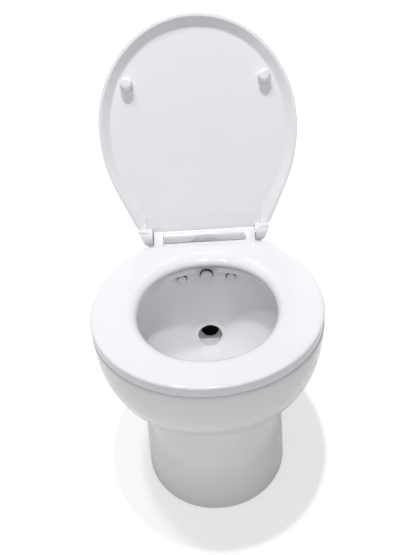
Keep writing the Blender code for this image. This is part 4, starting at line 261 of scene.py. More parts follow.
def skin(name, rings, around=False):
    """Extrudes a loop of points ring by ring, then closes both ends, or joins the last ring to the first."""
    bpy.ops.mesh.primitive_circle_add(vertices=len(rings[0]), radius=1.0)
    piece = bpy.context.object
    piece.name = name
    piece.data.name = name
    for vertex, point in zip(piece.data.vertices, rings[0]):
        vertex.co = point
    bpy.ops.object.mode_set(mode="EDIT")
    bpy.ops.mesh.select_all(action="SELECT")
    order = {i: i for i in range(len(rings[0]))}
    for ring in rings[1:]:
        bpy.ops.mesh.extrude_edges_move()
        shape = bmesh.from_edit_mesh(piece.data)
        shape.verts.index_update()
        for vertex in [v for v in shape.verts if v.select]:
            old = next(v for e in vertex.link_edges for v in e.verts if not v.select)
            order[vertex.index] = order[old.index]
            vertex.co = ring[order[old.index]]
        bmesh.update_edit_mesh(piece.data)
    shape = bmesh.from_edit_mesh(piece.data)
    ends = [e for e in shape.edges if len(e.link_faces) == 1]
    for e in shape.edges:
        e.select_set(e in ends)
    shape.select_flush_mode()
    bmesh.update_edit_mesh(piece.data)
    if around:
        bpy.ops.mesh.bridge_edge_loops()
    else:
        bpy.ops.mesh.edge_face_add()
        bpy.ops.mesh.select_all(action="SELECT")
        bpy.ops.mesh.fill_holes(sides=0)
    bpy.ops.mesh.select_all(action="SELECT")
    bpy.ops.mesh.normals_make_consistent(inside=False)
    bpy.ops.object.mode_set(mode="OBJECT")
    return piece


def only(piece):
    """Selects a piece and nothing else."""
    bpy.ops.object.select_all(action="DESELECT")
    piece.select_set(True)
    bpy.context.view_layer.objects.active = piece


def apply_place():
    bpy.ops.object.transform_apply(location=True, rotation=True, scale=True)


def finish_with(piece, kind, **settings):
    """Gives a piece a modifier and applies it."""
    only(piece)
    step = piece.modifiers.new(kind.lower(), kind)
    for key, value in settings.items():
        setattr(step, key, value)
    bpy.ops.object.modifier_apply(modifier=step.name)


def carve(piece, how, *tools):
    """Cuts each tool out of a piece, or joins it to the piece, and removes the tool."""
    for tool in tools:
        finish_with(piece, "BOOLEAN", operation=how, object=tool, solver="EXACT")
        bpy.data.objects.remove(tool, do_unlink=True)


def rod(name, radius, start, end, sides=48):
    start, end = Vector(start), Vector(end)
    turn = Vector((0, 0, 1)).rotation_difference(end - start).to_euler()
    bpy.ops.mesh.primitive_cylinder_add(
        vertices=sides, radius=radius, depth=(end - start).length, location=(start + end) / 2, rotation=turn
    )
    tool = bpy.context.object
    tool.name = name
    apply_place()
    return tool


def brick(name, low, high, edge=0.0, segments=3):
    """A block between two corners, with its edges rounded where an edge is given."""
    low, high = Vector(low), Vector(high)
    bpy.ops.mesh.primitive_cube_add(size=1.0, location=(low + high) / 2, scale=high - low)
    tool = bpy.context.object
    tool.name = name
    apply_place()
    if edge:
        finish_with(tool, "BEVEL", width=edge, segments=segments, limit_method="ANGLE")
    return tool


def smooth(piece, degrees=35):
    only(piece)
    bpy.ops.object.shade_smooth_by_angle(angle=math.radians(degrees))


def china_ring(z, inset=0.0):
    """The china's outline at a height: the pedestal's, or the bowl's, which swells out towards the rim."""
    if z <= PEDESTAL_TOP:
        share = z / PEDESTAL_TOP
        half, middle = mix(FOOT_HALF, NECK_HALF, share), mix(FOOT_MIDDLE, NECK_MIDDLE, share)
        front, back, rear_half = middle + half, NECK_BACK, half * FOOT_REAR_SHARE
    else:
        down = (CHINA_TOP - z) / (CHINA_TOP - PEDESTAL_TOP)
        swell = (1 - down**SWELL_POWER) ** TUCK_POWER
        half, middle = mix(NECK_HALF, RIM_HALF, swell), mix(NECK_MIDDLE, RIM_MIDDLE, swell)
        front, rear_half = mix(NECK_FRONT, RIM_FRONT, swell), mix(NECK_REAR_HALF, RIM_REAR_HALF, swell)
        back = 1 / mix(1 / NECK_BACK, 1 / RIM_BACK, swell)
    return outline(half, middle, front, back, rear_half, -REAR, CHINA_CORNER, inset=inset)


def seat_plan(inset=0.0):
    """The seat's plan, which the bowl's mouth and the basin follow too."""
    return outline(
        SEAT_HALF, SEAT_MIDDLE, SEAT_FRONT, SEAT_BACK, SEAT_REAR_HALF, SEAT_REAR, SEAT_CORNER, inset=inset
    )


def mouth_ring(z, grow):
    return level(egg(MOUTH_HALF, MOUTH_FRONT, MOUTH_REAR, seat_plan(), grow=grow), z)


def in_room(x, forward, z):
    """A place given forward of the hinge axis and above the floor."""
    return x, hinge.y - forward, z


def noise(tree, vector, scale, detail=2.0):
    cloud = add(tree, "TexNoise", Scale=scale, Detail=detail)
    tree.links.new(vector, cloud.inputs["Vector"])
    return cloud.outputs["Fac"]


def new_finish(name, **sockets):
    """A material, its node tree and its shader, with values for the sockets named."""
    made = bpy.data.materials.new(name)
    made.use_nodes = True
    shader = made.node_tree.nodes["Principled BSDF"]
    for socket, value in sockets.items():
        shader.inputs[socket.replace("_", " ")].default_value = value
    return made, made.node_tree, shader


def surface(tree, shader, colour, factor, gloss, height, strength, depth, span=(0.0, 1.0)):
    """Joins a colour, a gloss that follows a factor over a span, and a relief to the shader."""
    tree.links.new(colour, shader.inputs["Base Color"])
    sheen = add(tree, "MapRange", From_Min=span[0], From_Max=span[1], To_Min=gloss[0], To_Max=gloss[1])
    tree.links.new(factor, sheen.inputs["Value"])
    tree.links.new(sheen.outputs["Result"], shader.inputs["Roughness"])
    bump = add(tree, "Bump", Strength=strength, Distance=depth)
    tree.links.new(height, bump.inputs["Height"])
    tree.links.new(bump.outputs["Normal"], shader.inputs["Normal"])


def glaze(name, colour, gloss=0.07, wave=0.0006, fleck=0.015, strength=0.05):
    """Clear-coated white: faint shifts of shade, a slow waviness in metres and slight smears of dullness."""
    made, tree, shader = new_finish(name, IOR=1.5, Coat_Weight=0.4, Coat_Roughness=0.03)
    spot = add(tree, "TexCoord").outputs["Object"]
    clouds = noise(tree, spot, GLAZE_CLOUDS, 3.0)
    darker, lighter = ([min(1, c * share) for c in colour] for share in (1 - fleck, 1 + fleck))
    colour = shaded(tree, clouds, darker, lighter, 0.3, 0.7)
    smears, swells = (gloss * SMEAR_LEAST, gloss * SMEAR_MOST), noise(tree, spot, GLAZE_SWELLS)
    surface(tree, shader, colour, clouds, smears, swells, strength, wave)
    return made


def dress(piece, finish):
    piece.data.materials.clear()
    piece.data.materials.append(finish)


china_white = glaze("china_glaze", GLAZE)

heights = [FOOT_EDGE] + [PEDESTAL_TOP * i / PEDESTAL_STEPS for i in range(1, PEDESTAL_STEPS + 1)]
bowl_tall = CHINA_TOP - RIM_EDGE - PEDESTAL_TOP
heights += [PEDESTAL_TOP + bowl_tall * (i / BOWL_STEPS) ** BOWL_SPREAD for i in range(1, BOWL_STEPS + 1)]
rings = [level(china_ring(0.0, FOOT_EDGE), 0.0)] + [level(china_ring(z), z) for z in heights]
for inward, below in quarter(RIM_EDGE, 5)[1:]:
    rings.append(level(china_ring(CHINA_TOP - below, inward), CHINA_TOP - below))
shell = skin("china_shell", rings)

slab_foot = CHINA_TOP - SLAB
bowl_heights = [z for z in heights[PEDESTAL_STEPS + 2::2] if z < slab_foot - OVERRUN]
hollow_heights = [-OVERRUN, FOOT_EDGE, PEDESTAL_TOP, *bowl_heights, slab_foot]
hollow = skin("hollow", [level(china_ring(max(z, 0.0), WALL), z) for z in hollow_heights])
mouth = [mouth_ring(slab_foot - OVERRUN, MOUTH_FOOT_ROUND)]
mouth += [mouth_ring(slab_foot + rise, out) for rise, out in quarter(MOUTH_FOOT_ROUND, 5)]
mouth += [mouth_ring(CHINA_TOP - below, out) for out, below in quarter(MOUTH_ROUND, 6)]
mouth.append(mouth_ring(CHINA_TOP + OVERRUN, MOUTH_FLARE))
opening = skin("opening", mouth)
back_arch = brick(
    "back_arch", in_room(-ARCH_HALF, -ARCH_START, ARCH_LOW), in_room(ARCH_HALF, -REAR - OVERRUN, ARCH_TOP),
    ARCH_ROUND, 8,
)
notch = brick(
    "notch", in_room(-NOTCH_HALF, NOTCH_FAR, NOTCH_LOW),
    in_room(NOTCH_HALF, NOTCH_NEAR, CHINA_TOP - NOTCH_SKIN)
)
stud_holes = [
    rod("stud_hole", STUD_HOLE, in_room(x, 0, STUD_LOW), in_room(x, 0, STUD_HIGH), 24)
    for x in (-STUD_X, STUD_X)
]
side_holes = []
for name, radius, inner, sides in (
    ("side_hole", SCREW_HOLE, SCREW_IN_X, 24), ("cap_seat", CAP_SEAT, CAP_DEPTH_X, 40),
):
    for s in (-1, 1):
        start, end = (in_room(s * x, SCREW_FORWARD, SCREW_Z) for x in (inner, SCREW_OUT_X))
        side_holes.append(rod(name, radius, start, end, sides))
carve(shell, "DIFFERENCE", hollow, opening, back_arch, notch, *stud_holes, *side_holes)
smooth(shell)
dress(shell, china_white)
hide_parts("ceramic_bowl")
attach(shell, "toilet")


# Basin, throat and outlet.
# The inner bowl of the same casting, with a flat-floored throat that runs back to the dark drop over the
# pump, under a small ridge. All its inner corners are soft, because the glaze flows round them.
# Each row of BASIN has a depth and the shares of width, front reach and rear reach that are left there.
BASIN = (
    (-0.0065, 1.0, 1.0, 1.0), (0.0, 1.0, 1.0, 1.0), (0.08, 0.996, 0.992, 0.998),
    (0.165, 0.988, 0.979, 0.99), (0.24, 0.972, 0.958, 0.978), (0.323, 0.945, 0.93, 0.96),
    (0.40, 0.908, 0.89, 0.942), (0.481, 0.86, 0.84, 0.92), (0.56, 0.803, 0.781, 0.891),
    (0.639, 0.735, 0.712, 0.855), (0.70, 0.672, 0.644, 0.825), (0.766, 0.594, 0.56, 0.79),
    (0.82, 0.518, 0.479, 0.753), (0.873, 0.43, 0.387, 0.71), (0.92, 0.343, 0.296, 0.65),
    (0.956, 0.266, 0.21, 0.58), (0.985, 0.192, 0.138, 0.50), (1.0, 0.14, 0.087, 0.44),
)
BASIN_DEEP, BASIN_HALF, BASIN_MIDDLE, BASIN_AHEAD, BASIN_BEHIND = 0.158, 0.128, 0.104, 0.243, 0.048
ROUNDNESS = 2.2
THROAT_FRONT = (
    (0.0905, 0.0060), (0.0892, 0.0120), (0.0860, 0.0172), (0.0805, 0.0215),
    (0.0735, 0.0242), (0.0640, 0.0250), (0.0583, 0.0250),
)
THROAT_END, THROAT_END_HALF, THROAT_STEPS = 0.0275, 0.0175, 48
THROAT_TALL, THROAT_DEEP, THROAT_LIFT, FLOOR_FLATNESS = 0.0176, 0.0180, 0.0132, 0.55
DROP_FORWARD, DROP_RADIUS, DROP_TOP, DROP_LOW = 0.037, 0.019, 0.0043, 0.100
SPIGOT_RADIUS, SPIGOT_TOP, SPIGOT_LOW = 0.027, 0.013, 0.112
RIDGE_RADIUS, RIDGE_HALF, RIDGE_RISE, RIDGE_STEPS, RIDGE_START = 0.0030, 0.0275, 0.0015, 16, 8
VOXEL, SOFTENING, SOFTENINGS, INSIDE_OVERRUN = 0.0019, 0.6, 6, 0.01
BASIN_TOP = slab_foot
THROAT_Z = BASIN_TOP - BASIN_DEEP + THROAT_LIFT


def basin_size(width, front, rear):
    """Half width, front and rear of the basin, from a row's shares."""
    return BASIN_HALF * width, BASIN_MIDDLE + BASIN_AHEAD * front, BASIN_MIDDLE - BASIN_BEHIND * rear


def basin_rings(grow):
    rings = []
    for depth, *shares in BASIN:
        z = BASIN_TOP - BASIN_DEEP * depth - grow * max(depth, 0) ** 2
        rings.append(level(egg(*basin_size(*shares), seat_plan(), ROUNDNESS, grow), z))
    return rings


def throat_rings(grow):
    rings = []
    for forward, wide in (*THROAT_FRONT, (THROAT_END - grow, THROAT_END_HALF)):
        ring = []
        for i in range(THROAT_STEPS):
            angle = math.radians(360) * i / THROAT_STEPS
            rise = (THROAT_TALL + grow) * math.sin(angle)
            if rise < 0:
                rise = -(THROAT_DEEP + grow) * abs(math.sin(angle)) ** FLOOR_FLATNESS
            ring.append(Vector(in_room((wide + grow) * math.cos(angle), forward, THROAT_Z + rise)))
        rings.append(ring)
    return rings


def basin_wall(x, z):
    """The point of the basin's rear wall at a distance from the middle plane and a height."""
    depth = (BASIN_TOP - z) / BASIN_DEEP
    for low, high in zip(BASIN, BASIN[1:]):
        if depth <= high[0]:
            break
    share = (depth - low[0]) / (high[0] - low[0])
    half, ahead, behind = basin_size(*(mix(a, b, share) for a, b in zip(low[1:], high[1:])))
    reach = 1 - min(1.0, abs(x) / half) ** ROUNDNESS
    return Vector(in_room(x, (ahead + behind) / 2 - (ahead - behind) / 2 * reach ** (1 / ROUNDNESS), z))


basin = skin("china_basin", basin_rings(WALL))
throat_wall = skin("throat_wall", throat_rings(WALL))
spigot = rod(
    "spigot", SPIGOT_RADIUS,
    in_room(0, DROP_FORWARD, SPIGOT_LOW), in_room(0, DROP_FORWARD, THROAT_Z + SPIGOT_TOP),
)
carve(basin, "UNION", throat_wall, spigot)
lip = []
for i in range(RIDGE_STEPS + 1):
    angle = math.radians(RIDGE_START + (180 - 2 * RIDGE_START) * i / RIDGE_STEPS)
    rise = (THROAT_TALL + RIDGE_RISE) * math.sin(angle)
    lip.append(basin_wall(RIDGE_HALF * math.cos(angle), THROAT_Z + rise))
bpy.ops.curve.primitive_bezier_curve_add()
ridge = bpy.context.object
ridge.name = "mouth_ridge"
ridge.data.splines.clear()
line = ridge.data.splines.new("POLY")
line.points.add(len(lip) - 1)
for point, at in zip(line.points, lip):
    point.co = (*at, 1)
ridge.location = (0, 0, 0)
ridge.data.bevel_depth = RIDGE_RADIUS
ridge.data.use_fill_caps = True
only(ridge)
bpy.ops.object.convert(target="MESH")
inner_rings = basin_rings(0.0)
above = [p + Vector((0, 0, INSIDE_OVERRUN)) for p in inner_rings[0]]
inside = skin("inside", [above] + inner_rings)
throat = skin("throat", throat_rings(0.0))
drop = rod(
    "drop", DROP_RADIUS, in_room(0, DROP_FORWARD, DROP_LOW), in_room(0, DROP_FORWARD, THROAT_Z + DROP_TOP)
)
carve(basin, "DIFFERENCE", inside)
carve(basin, "UNION", ridge)
carve(basin, "DIFFERENCE", throat, drop)
finish_with(basin, "REMESH", mode="VOXEL", voxel_size=VOXEL)
finish_with(basin, "SMOOTH", factor=SOFTENING, iterations=SOFTENINGS)
smooth(basin, 60)
dress(basin, china_white)
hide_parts("ceramic_bowl")
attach(basin, "toilet")


# Seat.
# Moulded from hard white plastic: a flat ring with a square outer edge, a deep soft roll into its oval hole,
# and a strip at the back between the two ears of the hinge. It stands on four soft pads.
SEAT_UNDER, SEAT_TOP = 0.3242 - 0.349, 0.340 - 0.349
SEAT_SWELL, SEAT_ROLL, ROLL_POWER = 0.0005, 0.0125, 0.9
SEAT_LOW_EDGE, SEAT_HIGH_EDGE, SEAT_BAND, SEAT_LEDGE = 0.0016, 0.0036, 0.008, 0.004
HOLE_HALF, HOLE_FRONT, HOLE_REAR = 0.1085, 0.328, 0.078
CREST_HALF, CREST_FRONT, CREST_REAR = 0.122, 0.346, 0.052
HOLE_ROUNDNESS, FLAT_STEPS, ROLL_STEPS = 2.1, 4, 12
HOLE_LOW_EDGE = ((0.002, 0.0), (0.0006, 0.0005), (0.0, 0.002))
EAR_INSIDE, EAR_WIDTH, EAR_RADIUS, EAR_EDGE, PIN_BORE = 0.0785, 0.018, 0.0078, 0.0012, 0.0033
EAR_REACH_LOW, EAR_REACH_HIGH, EAR_LIFT, EAR_STEP = -0.0262, -0.0216, 0.0022, 0.0003
STRIP_FRONT, STRIP_REAR, STRIP_LIFT, STRIP_STEP, STRIP_EDGE = 0.026, 0.0105, 0.0032, 0.001, 0.0012
JOIN = 0.003
BARREL_STEPS = 64
PLASTIC = (0.80, 0.803, 0.83)


def rounded(corners, steps=5):
    """A profile (inset, height) whose corners are turned by the radius given with each."""
    points = []
    for i, (a, b, radius) in enumerate(corners):
        here = Vector((a, b))
        if not radius:
            points.append(here)
            continue
        before, after = Vector(corners[i - 1][:2]), Vector(corners[(i + 1) % len(corners)][:2])
        start = here + (before - here).normalized() * radius
        end = here + (after - here).normalized() * radius
        for k in range(steps + 1):
            t = k / steps
            points.append(start.lerp(here, t).lerp(here.lerp(end, t), t))
    return points


def about_axis(ring, z):
    """A ring of (side, forward) points at a height above the hinge axis."""
    return [Vector((p.x, -p.y, z)) for p in ring]


def hull(points):
    """Corners of the smallest convex shape round the points, in order."""
    points = sorted(set(points))
    halves = []
    for run in (points, points[::-1]):
        half = []
        for p in run:
            while len(half) > 1 and (half[-1][0] - half[-2][0]) * (p[1] - half[-2][1]) <= (
                half[-1][1] - half[-2][1]
            ) * (p[0] - half[-2][0]):
                half.pop()
            half.append(p)
        halves += half[:-1]
    return halves


def barrel_arm(name, radius, start, end, low, high, edge):
    """A hinge barrel and the arm that joins it to its panel, in one: a slab with rounded edges."""
    turns = [math.radians(360) * i / BARREL_STEPS for i in range(BARREL_STEPS)]
    points = [(radius * math.cos(t), radius * math.sin(t)) for t in turns]
    points += [(y, z) for y in (low[0], high[0]) for z in (low[1], high[1])]
    side = hull([(round(y, 7), round(z, 7)) for y, z in points])
    arm = skin(name, [[Vector((x, y, z)) for y, z in side] for x in (start, end)])
    finish_with(arm, "BEVEL", width=edge, segments=4, limit_method="ANGLE", angle_limit=math.radians(50))
    return arm


def settle(piece, turn=0.0):
    """Swings a piece modelled about the hinge axis by the angle, and sets it in its place."""
    only(piece)
    piece.rotation_euler = (math.radians(turn), 0, 0)
    piece.location = hinge
    apply_place()


def seat_hole(grow=0.0):
    return egg(HOLE_HALF, HOLE_FRONT, HOLE_REAR, seat_plan(), HOLE_ROUNDNESS, grow)


crest = egg(CREST_HALF, CREST_FRONT, CREST_REAR, seat_plan(), HOLE_ROUNDNESS)
section = [
    (SEAT_LEDGE, SEAT_UNDER, 0), (0.0, SEAT_UNDER, SEAT_LOW_EDGE),
    (0.0, SEAT_TOP, SEAT_HIGH_EDGE), (SEAT_BAND, SEAT_TOP, 0),
]
rings = []
for inset, z in rounded(section, 6):
    rings.append(about_axis(seat_plan(inset), z - SEAT_SWELL * (1 - min(1.0, inset / SEAT_BAND))))
for i in range(1, FLAT_STEPS + 1):
    ring = [p.lerp(q, i / FLAT_STEPS) for p, q in zip(seat_plan(SEAT_BAND), crest)]
    rings.append(about_axis(ring, SEAT_TOP))
for out, up in quarter(1.0, ROLL_STEPS)[1:]:
    ring = [p.lerp(q, 1 - up) for p, q in zip(crest, seat_hole())]
    rings.append(about_axis(ring, SEAT_TOP - SEAT_ROLL * out**ROLL_POWER))
for rise, grow in HOLE_LOW_EDGE:
    rings.append(about_axis(seat_hole(grow), SEAT_UNDER + rise))
seat = skin("seat_ring", rings, around=True)
strip = brick(
    "seat_strip", (-EAR_INSIDE - JOIN, -STRIP_FRONT, SEAT_UNDER + STRIP_LIFT),
    (EAR_INSIDE + JOIN, -STRIP_REAR, SEAT_TOP - STRIP_STEP), STRIP_EDGE, 4,
)
ears = []
for s in (-1, 1):
    start, end = sorted((s * EAR_INSIDE, s * (EAR_INSIDE + EAR_WIDTH)))
    low, high = (EAR_REACH_LOW, SEAT_UNDER + EAR_LIFT), (EAR_REACH_HIGH, SEAT_TOP - EAR_STEP)
    ear = barrel_arm("ear", EAR_RADIUS, start, end, low, high, EAR_EDGE)
    carve(ear, "DIFFERENCE", rod("pin_bore", PIN_BORE, (start - OVERRUN, 0, 0), (end + OVERRUN, 0, 0), 32))
    ears.append(ear)
carve(seat, "UNION", strip, *ears)
settle(seat)
smooth(seat, 32)
seat_white = glaze("seat_plastic", PLASTIC, gloss=0.09, wave=0.0005, fleck=0.008, strength=0.04)
dress(seat, seat_white)
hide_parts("seat")
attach(seat, "seat")


# Lid.
# Moulded in the same plastic, shown open and leaning back. A thin lip runs round it, its inner wall slopes
# down to a slightly domed panel, and two knuckles at its foot turn on the hinge pins.
LID_OPEN = -109.8
LIP, WALL_FOOT, RECESS, SKIN, CROWN, RIM = 0.0055, 0.0195, 0.0095, 0.0040, 0.0056, -0.0055
LID_REAR, LID_OVERHANG, LID_BAND, PANEL_EDGE = 0.015, 0.0013, 0.009, 0.003
PANEL_SHARES = (0.1, 0.22, 0.35, 0.48, 0.6, 0.72, 0.83, 0.92)
LIP_INNER_ROUND, LIP_OUTER_ROUND, PANEL_ROUND, BACK_ROUND, BACK_STEP = 0.0011, 0.0015, 0.0026, 0.0048, 0.0008
KNUCKLE_INSIDE, KNUCKLE_WIDTH, KNUCKLE_RADIUS = 0.0985, 0.026, 0.016
KNUCKLE_EDGE, KNUCKLE_ROUND = 0.0004, 0.0012
SIDE_SLOPE, SLOPE_X, SLOPE_Y = 0.45, 0.0010, -0.0125
ARM_REACH_LOW, ARM_REACH_HIGH = -0.0190, -0.0150
DAMPER_BORE, DAMPER_DEEP = 0.0088, 0.0143
TONGUE_FRONT, TONGUE_REAR, TONGUE_EDGE, TONGUE_STEP = 0.0330, 0.0088, 0.0010, 0.0003
ROOM_FRONT, GAP = 0.0357, 0.0002
STUB_HALF, STUB_FRONT, STUB_REAR, STUB_LOW = 0.1100, 0.0361, 0.0170, 0.005


def lid_plan(inset=0.0):
    return outline(
        SEAT_HALF, SEAT_MIDDLE, SEAT_FRONT, SEAT_BACK, SEAT_REAR_HALF, LID_REAR, SEAT_CORNER,
        inset=inset - LID_OVERHANG,
    )


def domed(inset, z, shares):
    """Rings that shrink towards the middle of the lid and rise with its crown."""
    middle = Vector((0.0, SEAT_MIDDLE))
    plan = lid_plan(inset)
    return [about_axis([middle.lerp(p, k) for p in plan], z + CROWN * (1 - k**2)) for k in shares]


floor_z = RIM + RECESS
section = [
    (WALL_FOOT + PANEL_EDGE, floor_z, 0), (WALL_FOOT, floor_z, PANEL_ROUND),
    (LIP, RIM, LIP_INNER_ROUND), (0.0, RIM, LIP_OUTER_ROUND),
    (0.0, floor_z + SKIN - BACK_STEP, BACK_ROUND), (LID_BAND, floor_z + SKIN, 0),
]
rings = domed(WALL_FOOT + PANEL_EDGE, floor_z, PANEL_SHARES)
rings += [about_axis(lid_plan(inset), z) for inset, z in rounded(section, 6)]
rings += domed(LID_BAND, floor_z + SKIN, PANEL_SHARES[::-1])
lid = skin("lid_cover", rings)
knuckles = []
for s in (-1, 1):
    start, end = sorted((s * KNUCKLE_INSIDE, s * (KNUCKLE_INSIDE + KNUCKLE_WIDTH)))
    low, high = (ARM_REACH_LOW, RIM + LIP_OUTER_ROUND), (ARM_REACH_HIGH, floor_z)
    knuckle = barrel_arm("knuckle", KNUCKLE_RADIUS, start, end, low, high, KNUCKLE_EDGE)
    corner = Vector((s * (KNUCKLE_INSIDE + KNUCKLE_WIDTH + SLOPE_X), SLOPE_Y, 0.0))
    bpy.ops.object.mode_set(mode="EDIT")
    bpy.ops.mesh.select_all(action="SELECT")
    bpy.ops.mesh.bisect(
        plane_co=corner, plane_no=Vector((s, SIDE_SLOPE, 0)).normalized(), use_fill=True, clear_outer=True
    )
    bpy.ops.mesh.bevel(offset=KNUCKLE_ROUND, segments=3, affect="EDGES")
    bpy.ops.object.mode_set(mode="OBJECT")
    near, far = s * (KNUCKLE_INSIDE - OVERRUN), s * (KNUCKLE_INSIDE + DAMPER_DEEP)
    carve(knuckle, "DIFFERENCE", rod("damper_bore", DAMPER_BORE, (near, 0, 0), (far, 0, 0)))
    knuckles.append(knuckle)
carve(lid, "UNION", *knuckles)
room_half = KNUCKLE_INSIDE - GAP
lip_room = brick("lip_room", (-room_half, -ROOM_FRONT, RIM - OVERRUN), (room_half, 0, floor_z))
above_knuckles = brick(
    "above_knuckles", (-STUB_HALF, -STUB_FRONT, RIM - STUB_LOW), (STUB_HALF, -STUB_REAR, floor_z + GAP / 2)
)
carve(lid, "DIFFERENCE", lip_room, above_knuckles)
tongue = brick(
    "lid_tongue", (-KNUCKLE_INSIDE - JOIN, -TONGUE_FRONT, floor_z + GAP),
    (KNUCKLE_INSIDE + JOIN, -TONGUE_REAR, floor_z + SKIN - TONGUE_STEP), TONGUE_EDGE,
)
carve(lid, "UNION", tongue)
settle(lid, LID_OPEN)
smooth(lid, 32)
dress(lid, seat_white)
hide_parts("lid")
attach(lid, "lid")


# Lid bumpers.
# Two soft white plastic buttons pressed into the lid, with rounded faces that meet the closed seat.
# They are turned pieces, like the nozzles and the dark rings of painted shadow behind them below.
BUMPER_RADIUS, BUMPER_ROUND_OUT, BUMPER_ROUND_UP, BUMPER_FACE = 0.0115, 0.0062, 0.0052, 0.003
BUMPER_X, BUMPER_FORWARD, BUMPER_SINK, BUMPER_PRESS = 0.1236, 0.2775, 0.0009, 0.0003
SOFT_WHITE = (0.80, 0.81, 0.83)


def turned(name, profile, steps=64):
    """Spins a profile of (radius, height) points about Z."""
    bpy.ops.mesh.primitive_circle_add(vertices=3, radius=1.0)
    piece = bpy.context.object
    piece.name = piece.data.name = name
    bpy.ops.object.mode_set(mode="EDIT")
    bpy.ops.mesh.delete(type="VERT")
    shape = bmesh.from_edit_mesh(piece.data)
    line = [shape.verts.new((r, 0.0, z)) for r, z in profile]
    for a, b in zip(line, line[1:]):
        shape.edges.new((a, b))
    bmesh.update_edit_mesh(piece.data)
    bpy.ops.mesh.select_all(action="SELECT")
    bpy.ops.mesh.spin(steps=steps, angle=math.radians(360), center=(0, 0, 0), axis=(0, 0, 1))
    bpy.ops.mesh.select_all(action="SELECT")
    bpy.ops.mesh.remove_doubles(threshold=1e-6)
    bpy.ops.mesh.normals_make_consistent(inside=False)
    bpy.ops.object.mode_set(mode="OBJECT")
    return piece


def stand(piece, along, at):
    """Lays a piece turned about Z along a direction, with its foot at a point."""
    only(piece)
    piece.rotation_mode = "QUATERNION"
    piece.rotation_quaternion = Vector((0, 0, 1)).rotation_difference(Vector(along))
    piece.location = at
    apply_place()
    piece.rotation_mode = "XYZ"


bumper_base = floor_z + BUMPER_SINK
depth = bumper_base - SEAT_TOP - BUMPER_PRESS
soft_white = glaze("soft_plastic", SOFT_WHITE, gloss=0.32, wave=0.0003, fleck=0.02, strength=0.06)
for side, s in (("left", -1), ("right", 1)):
    profile = [(0.0, 0.0), (BUMPER_RADIUS, 0.0)]
    for out, up in quarter(1.0, 8):
        profile.append((BUMPER_RADIUS - BUMPER_ROUND_OUT * out, depth - BUMPER_ROUND_UP * up))
    profile += [(BUMPER_FACE, depth), (0.0, depth)]
    bumper = turned(f"bumper_{side}", profile)
    stand(bumper, (0, 0, -1), (s * BUMPER_X, -BUMPER_FORWARD, bumper_base))
    settle(bumper, LID_OPEN)
    smooth(bumper)
    dress(bumper, soft_white)
    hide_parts(f"lid_buffer_{side}")
    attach(bumper, "lid")


# Hinge bar and release key.
# A fixed bar with a rounded section stands on two round feet over the deck studs. A shallow thumb recess in
# its front, wider at its foot, shows the sprung key that frees the seat and lid from the studs.
BAR_HALF, BAR_FRONT, BAR_LOW, BAR_HIGH, BAR_EDGE = 0.0765, 0.0085, 0.3375, 0.355, 0.0008
BAR_LOW_ROUND, BAR_FRONT_ROUND, BAR_REAR_ROUND = 0.0016, 0.0058, 0.0046
FOOT_RADIUS, FOOT_LOW, FOOT_HIGH = 0.0083, 0.3213, 0.3450
STUD_BORE, STUD_BORE_LOW, STUD_BORE_HIGH = 0.0068, 0.320, 0.3273
PIN_IN, PIN_OUT = 0.0562, 0.0805
RECESS_RIGHT = ((0.0150, 0.3490), (0.0190, 0.3474), (0.0240, 0.3432), (0.0310, 0.3375), (0.0345, 0.3350))
RECESS_DEEP, RECESS_START, KEY_STEP = 0.0035, 0.003, 0.0008
KEY_HALF, KEY_DEEP, KEY_LOW, KEY_HIGH, KEY_EDGE, KEY_ROOM = 0.015, 0.0077, 0.338, 0.3495, 0.0008, 0.0004
POCKET_LOW, POCKET_HIGH, KEY_BORE, KEY_BORE_LOW, KEY_BORE_HIGH = 0.3355, 0.3523, 0.0020, 0.3460, 0.3510
HINGE_WHITE, KEY_GREY = (0.82, 0.825, 0.84), (0.76, 0.765, 0.78)

section = rounded([
    (-BAR_FRONT, BAR_LOW, BAR_LOW_ROUND), (-BAR_FRONT, BAR_HIGH, BAR_FRONT_ROUND),
    (BAR_FRONT, BAR_HIGH, BAR_REAR_ROUND), (BAR_FRONT, BAR_LOW, BAR_LOW_ROUND),
], 8)
bar_ends = [[Vector((x, hinge.y + y, z)) for y, z in section] for x in (-BAR_HALF, BAR_HALF)]
bar = skin("hinge_bar_shell", bar_ends)
finish_with(bar, "BEVEL", width=BAR_EDGE, segments=3, limit_method="ANGLE", angle_limit=math.radians(60))
bar_feet = [
    rod("bar_foot", FOOT_RADIUS, in_room(x, 0, FOOT_LOW), in_room(x, 0, FOOT_HIGH), 64)
    for x in (-STUD_X, STUD_X)
]
carve(bar, "UNION", *bar_feet)
thumb_line = [(-x, z) for x, z in reversed(RECESS_RIGHT)] + list(RECESS_RIGHT)
thumb_sides = (BAR_FRONT + RECESS_START, BAR_FRONT - RECESS_DEEP)
recess = skin("thumb_recess", [[Vector(in_room(x, y, z)) for x, z in thumb_line] for y in thumb_sides])
front = hinge.y - BAR_FRONT + KEY_STEP
pocket = brick(
    "key_pocket", (-KEY_HALF - KEY_ROOM, front - KEY_ROOM, POCKET_LOW),
    (KEY_HALF + KEY_ROOM, front + KEY_DEEP + KEY_ROOM, POCKET_HIGH),
)
stud_bores = [
    rod("stud_bore", STUD_BORE, in_room(x, 0, STUD_BORE_LOW), in_room(x, 0, STUD_BORE_HIGH))
    for x in (-STUD_X, STUD_X)
]
pin_bores = [
    rod("pin_bore", PIN_BORE, in_room(s * PIN_IN, 0, hinge.z), in_room(s * PIN_OUT, 0, hinge.z), 32)
    for s in (-1, 1)
]
carve(bar, "DIFFERENCE", recess, pocket, *stud_bores, *pin_bores)
smooth(bar, 32)
hinge_white = glaze("hinge_plastic", HINGE_WHITE, gloss=0.16, wave=0.0003, fleck=0.012)
dress(bar, hinge_white)
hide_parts("hinge_bar")
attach(bar, "toilet")

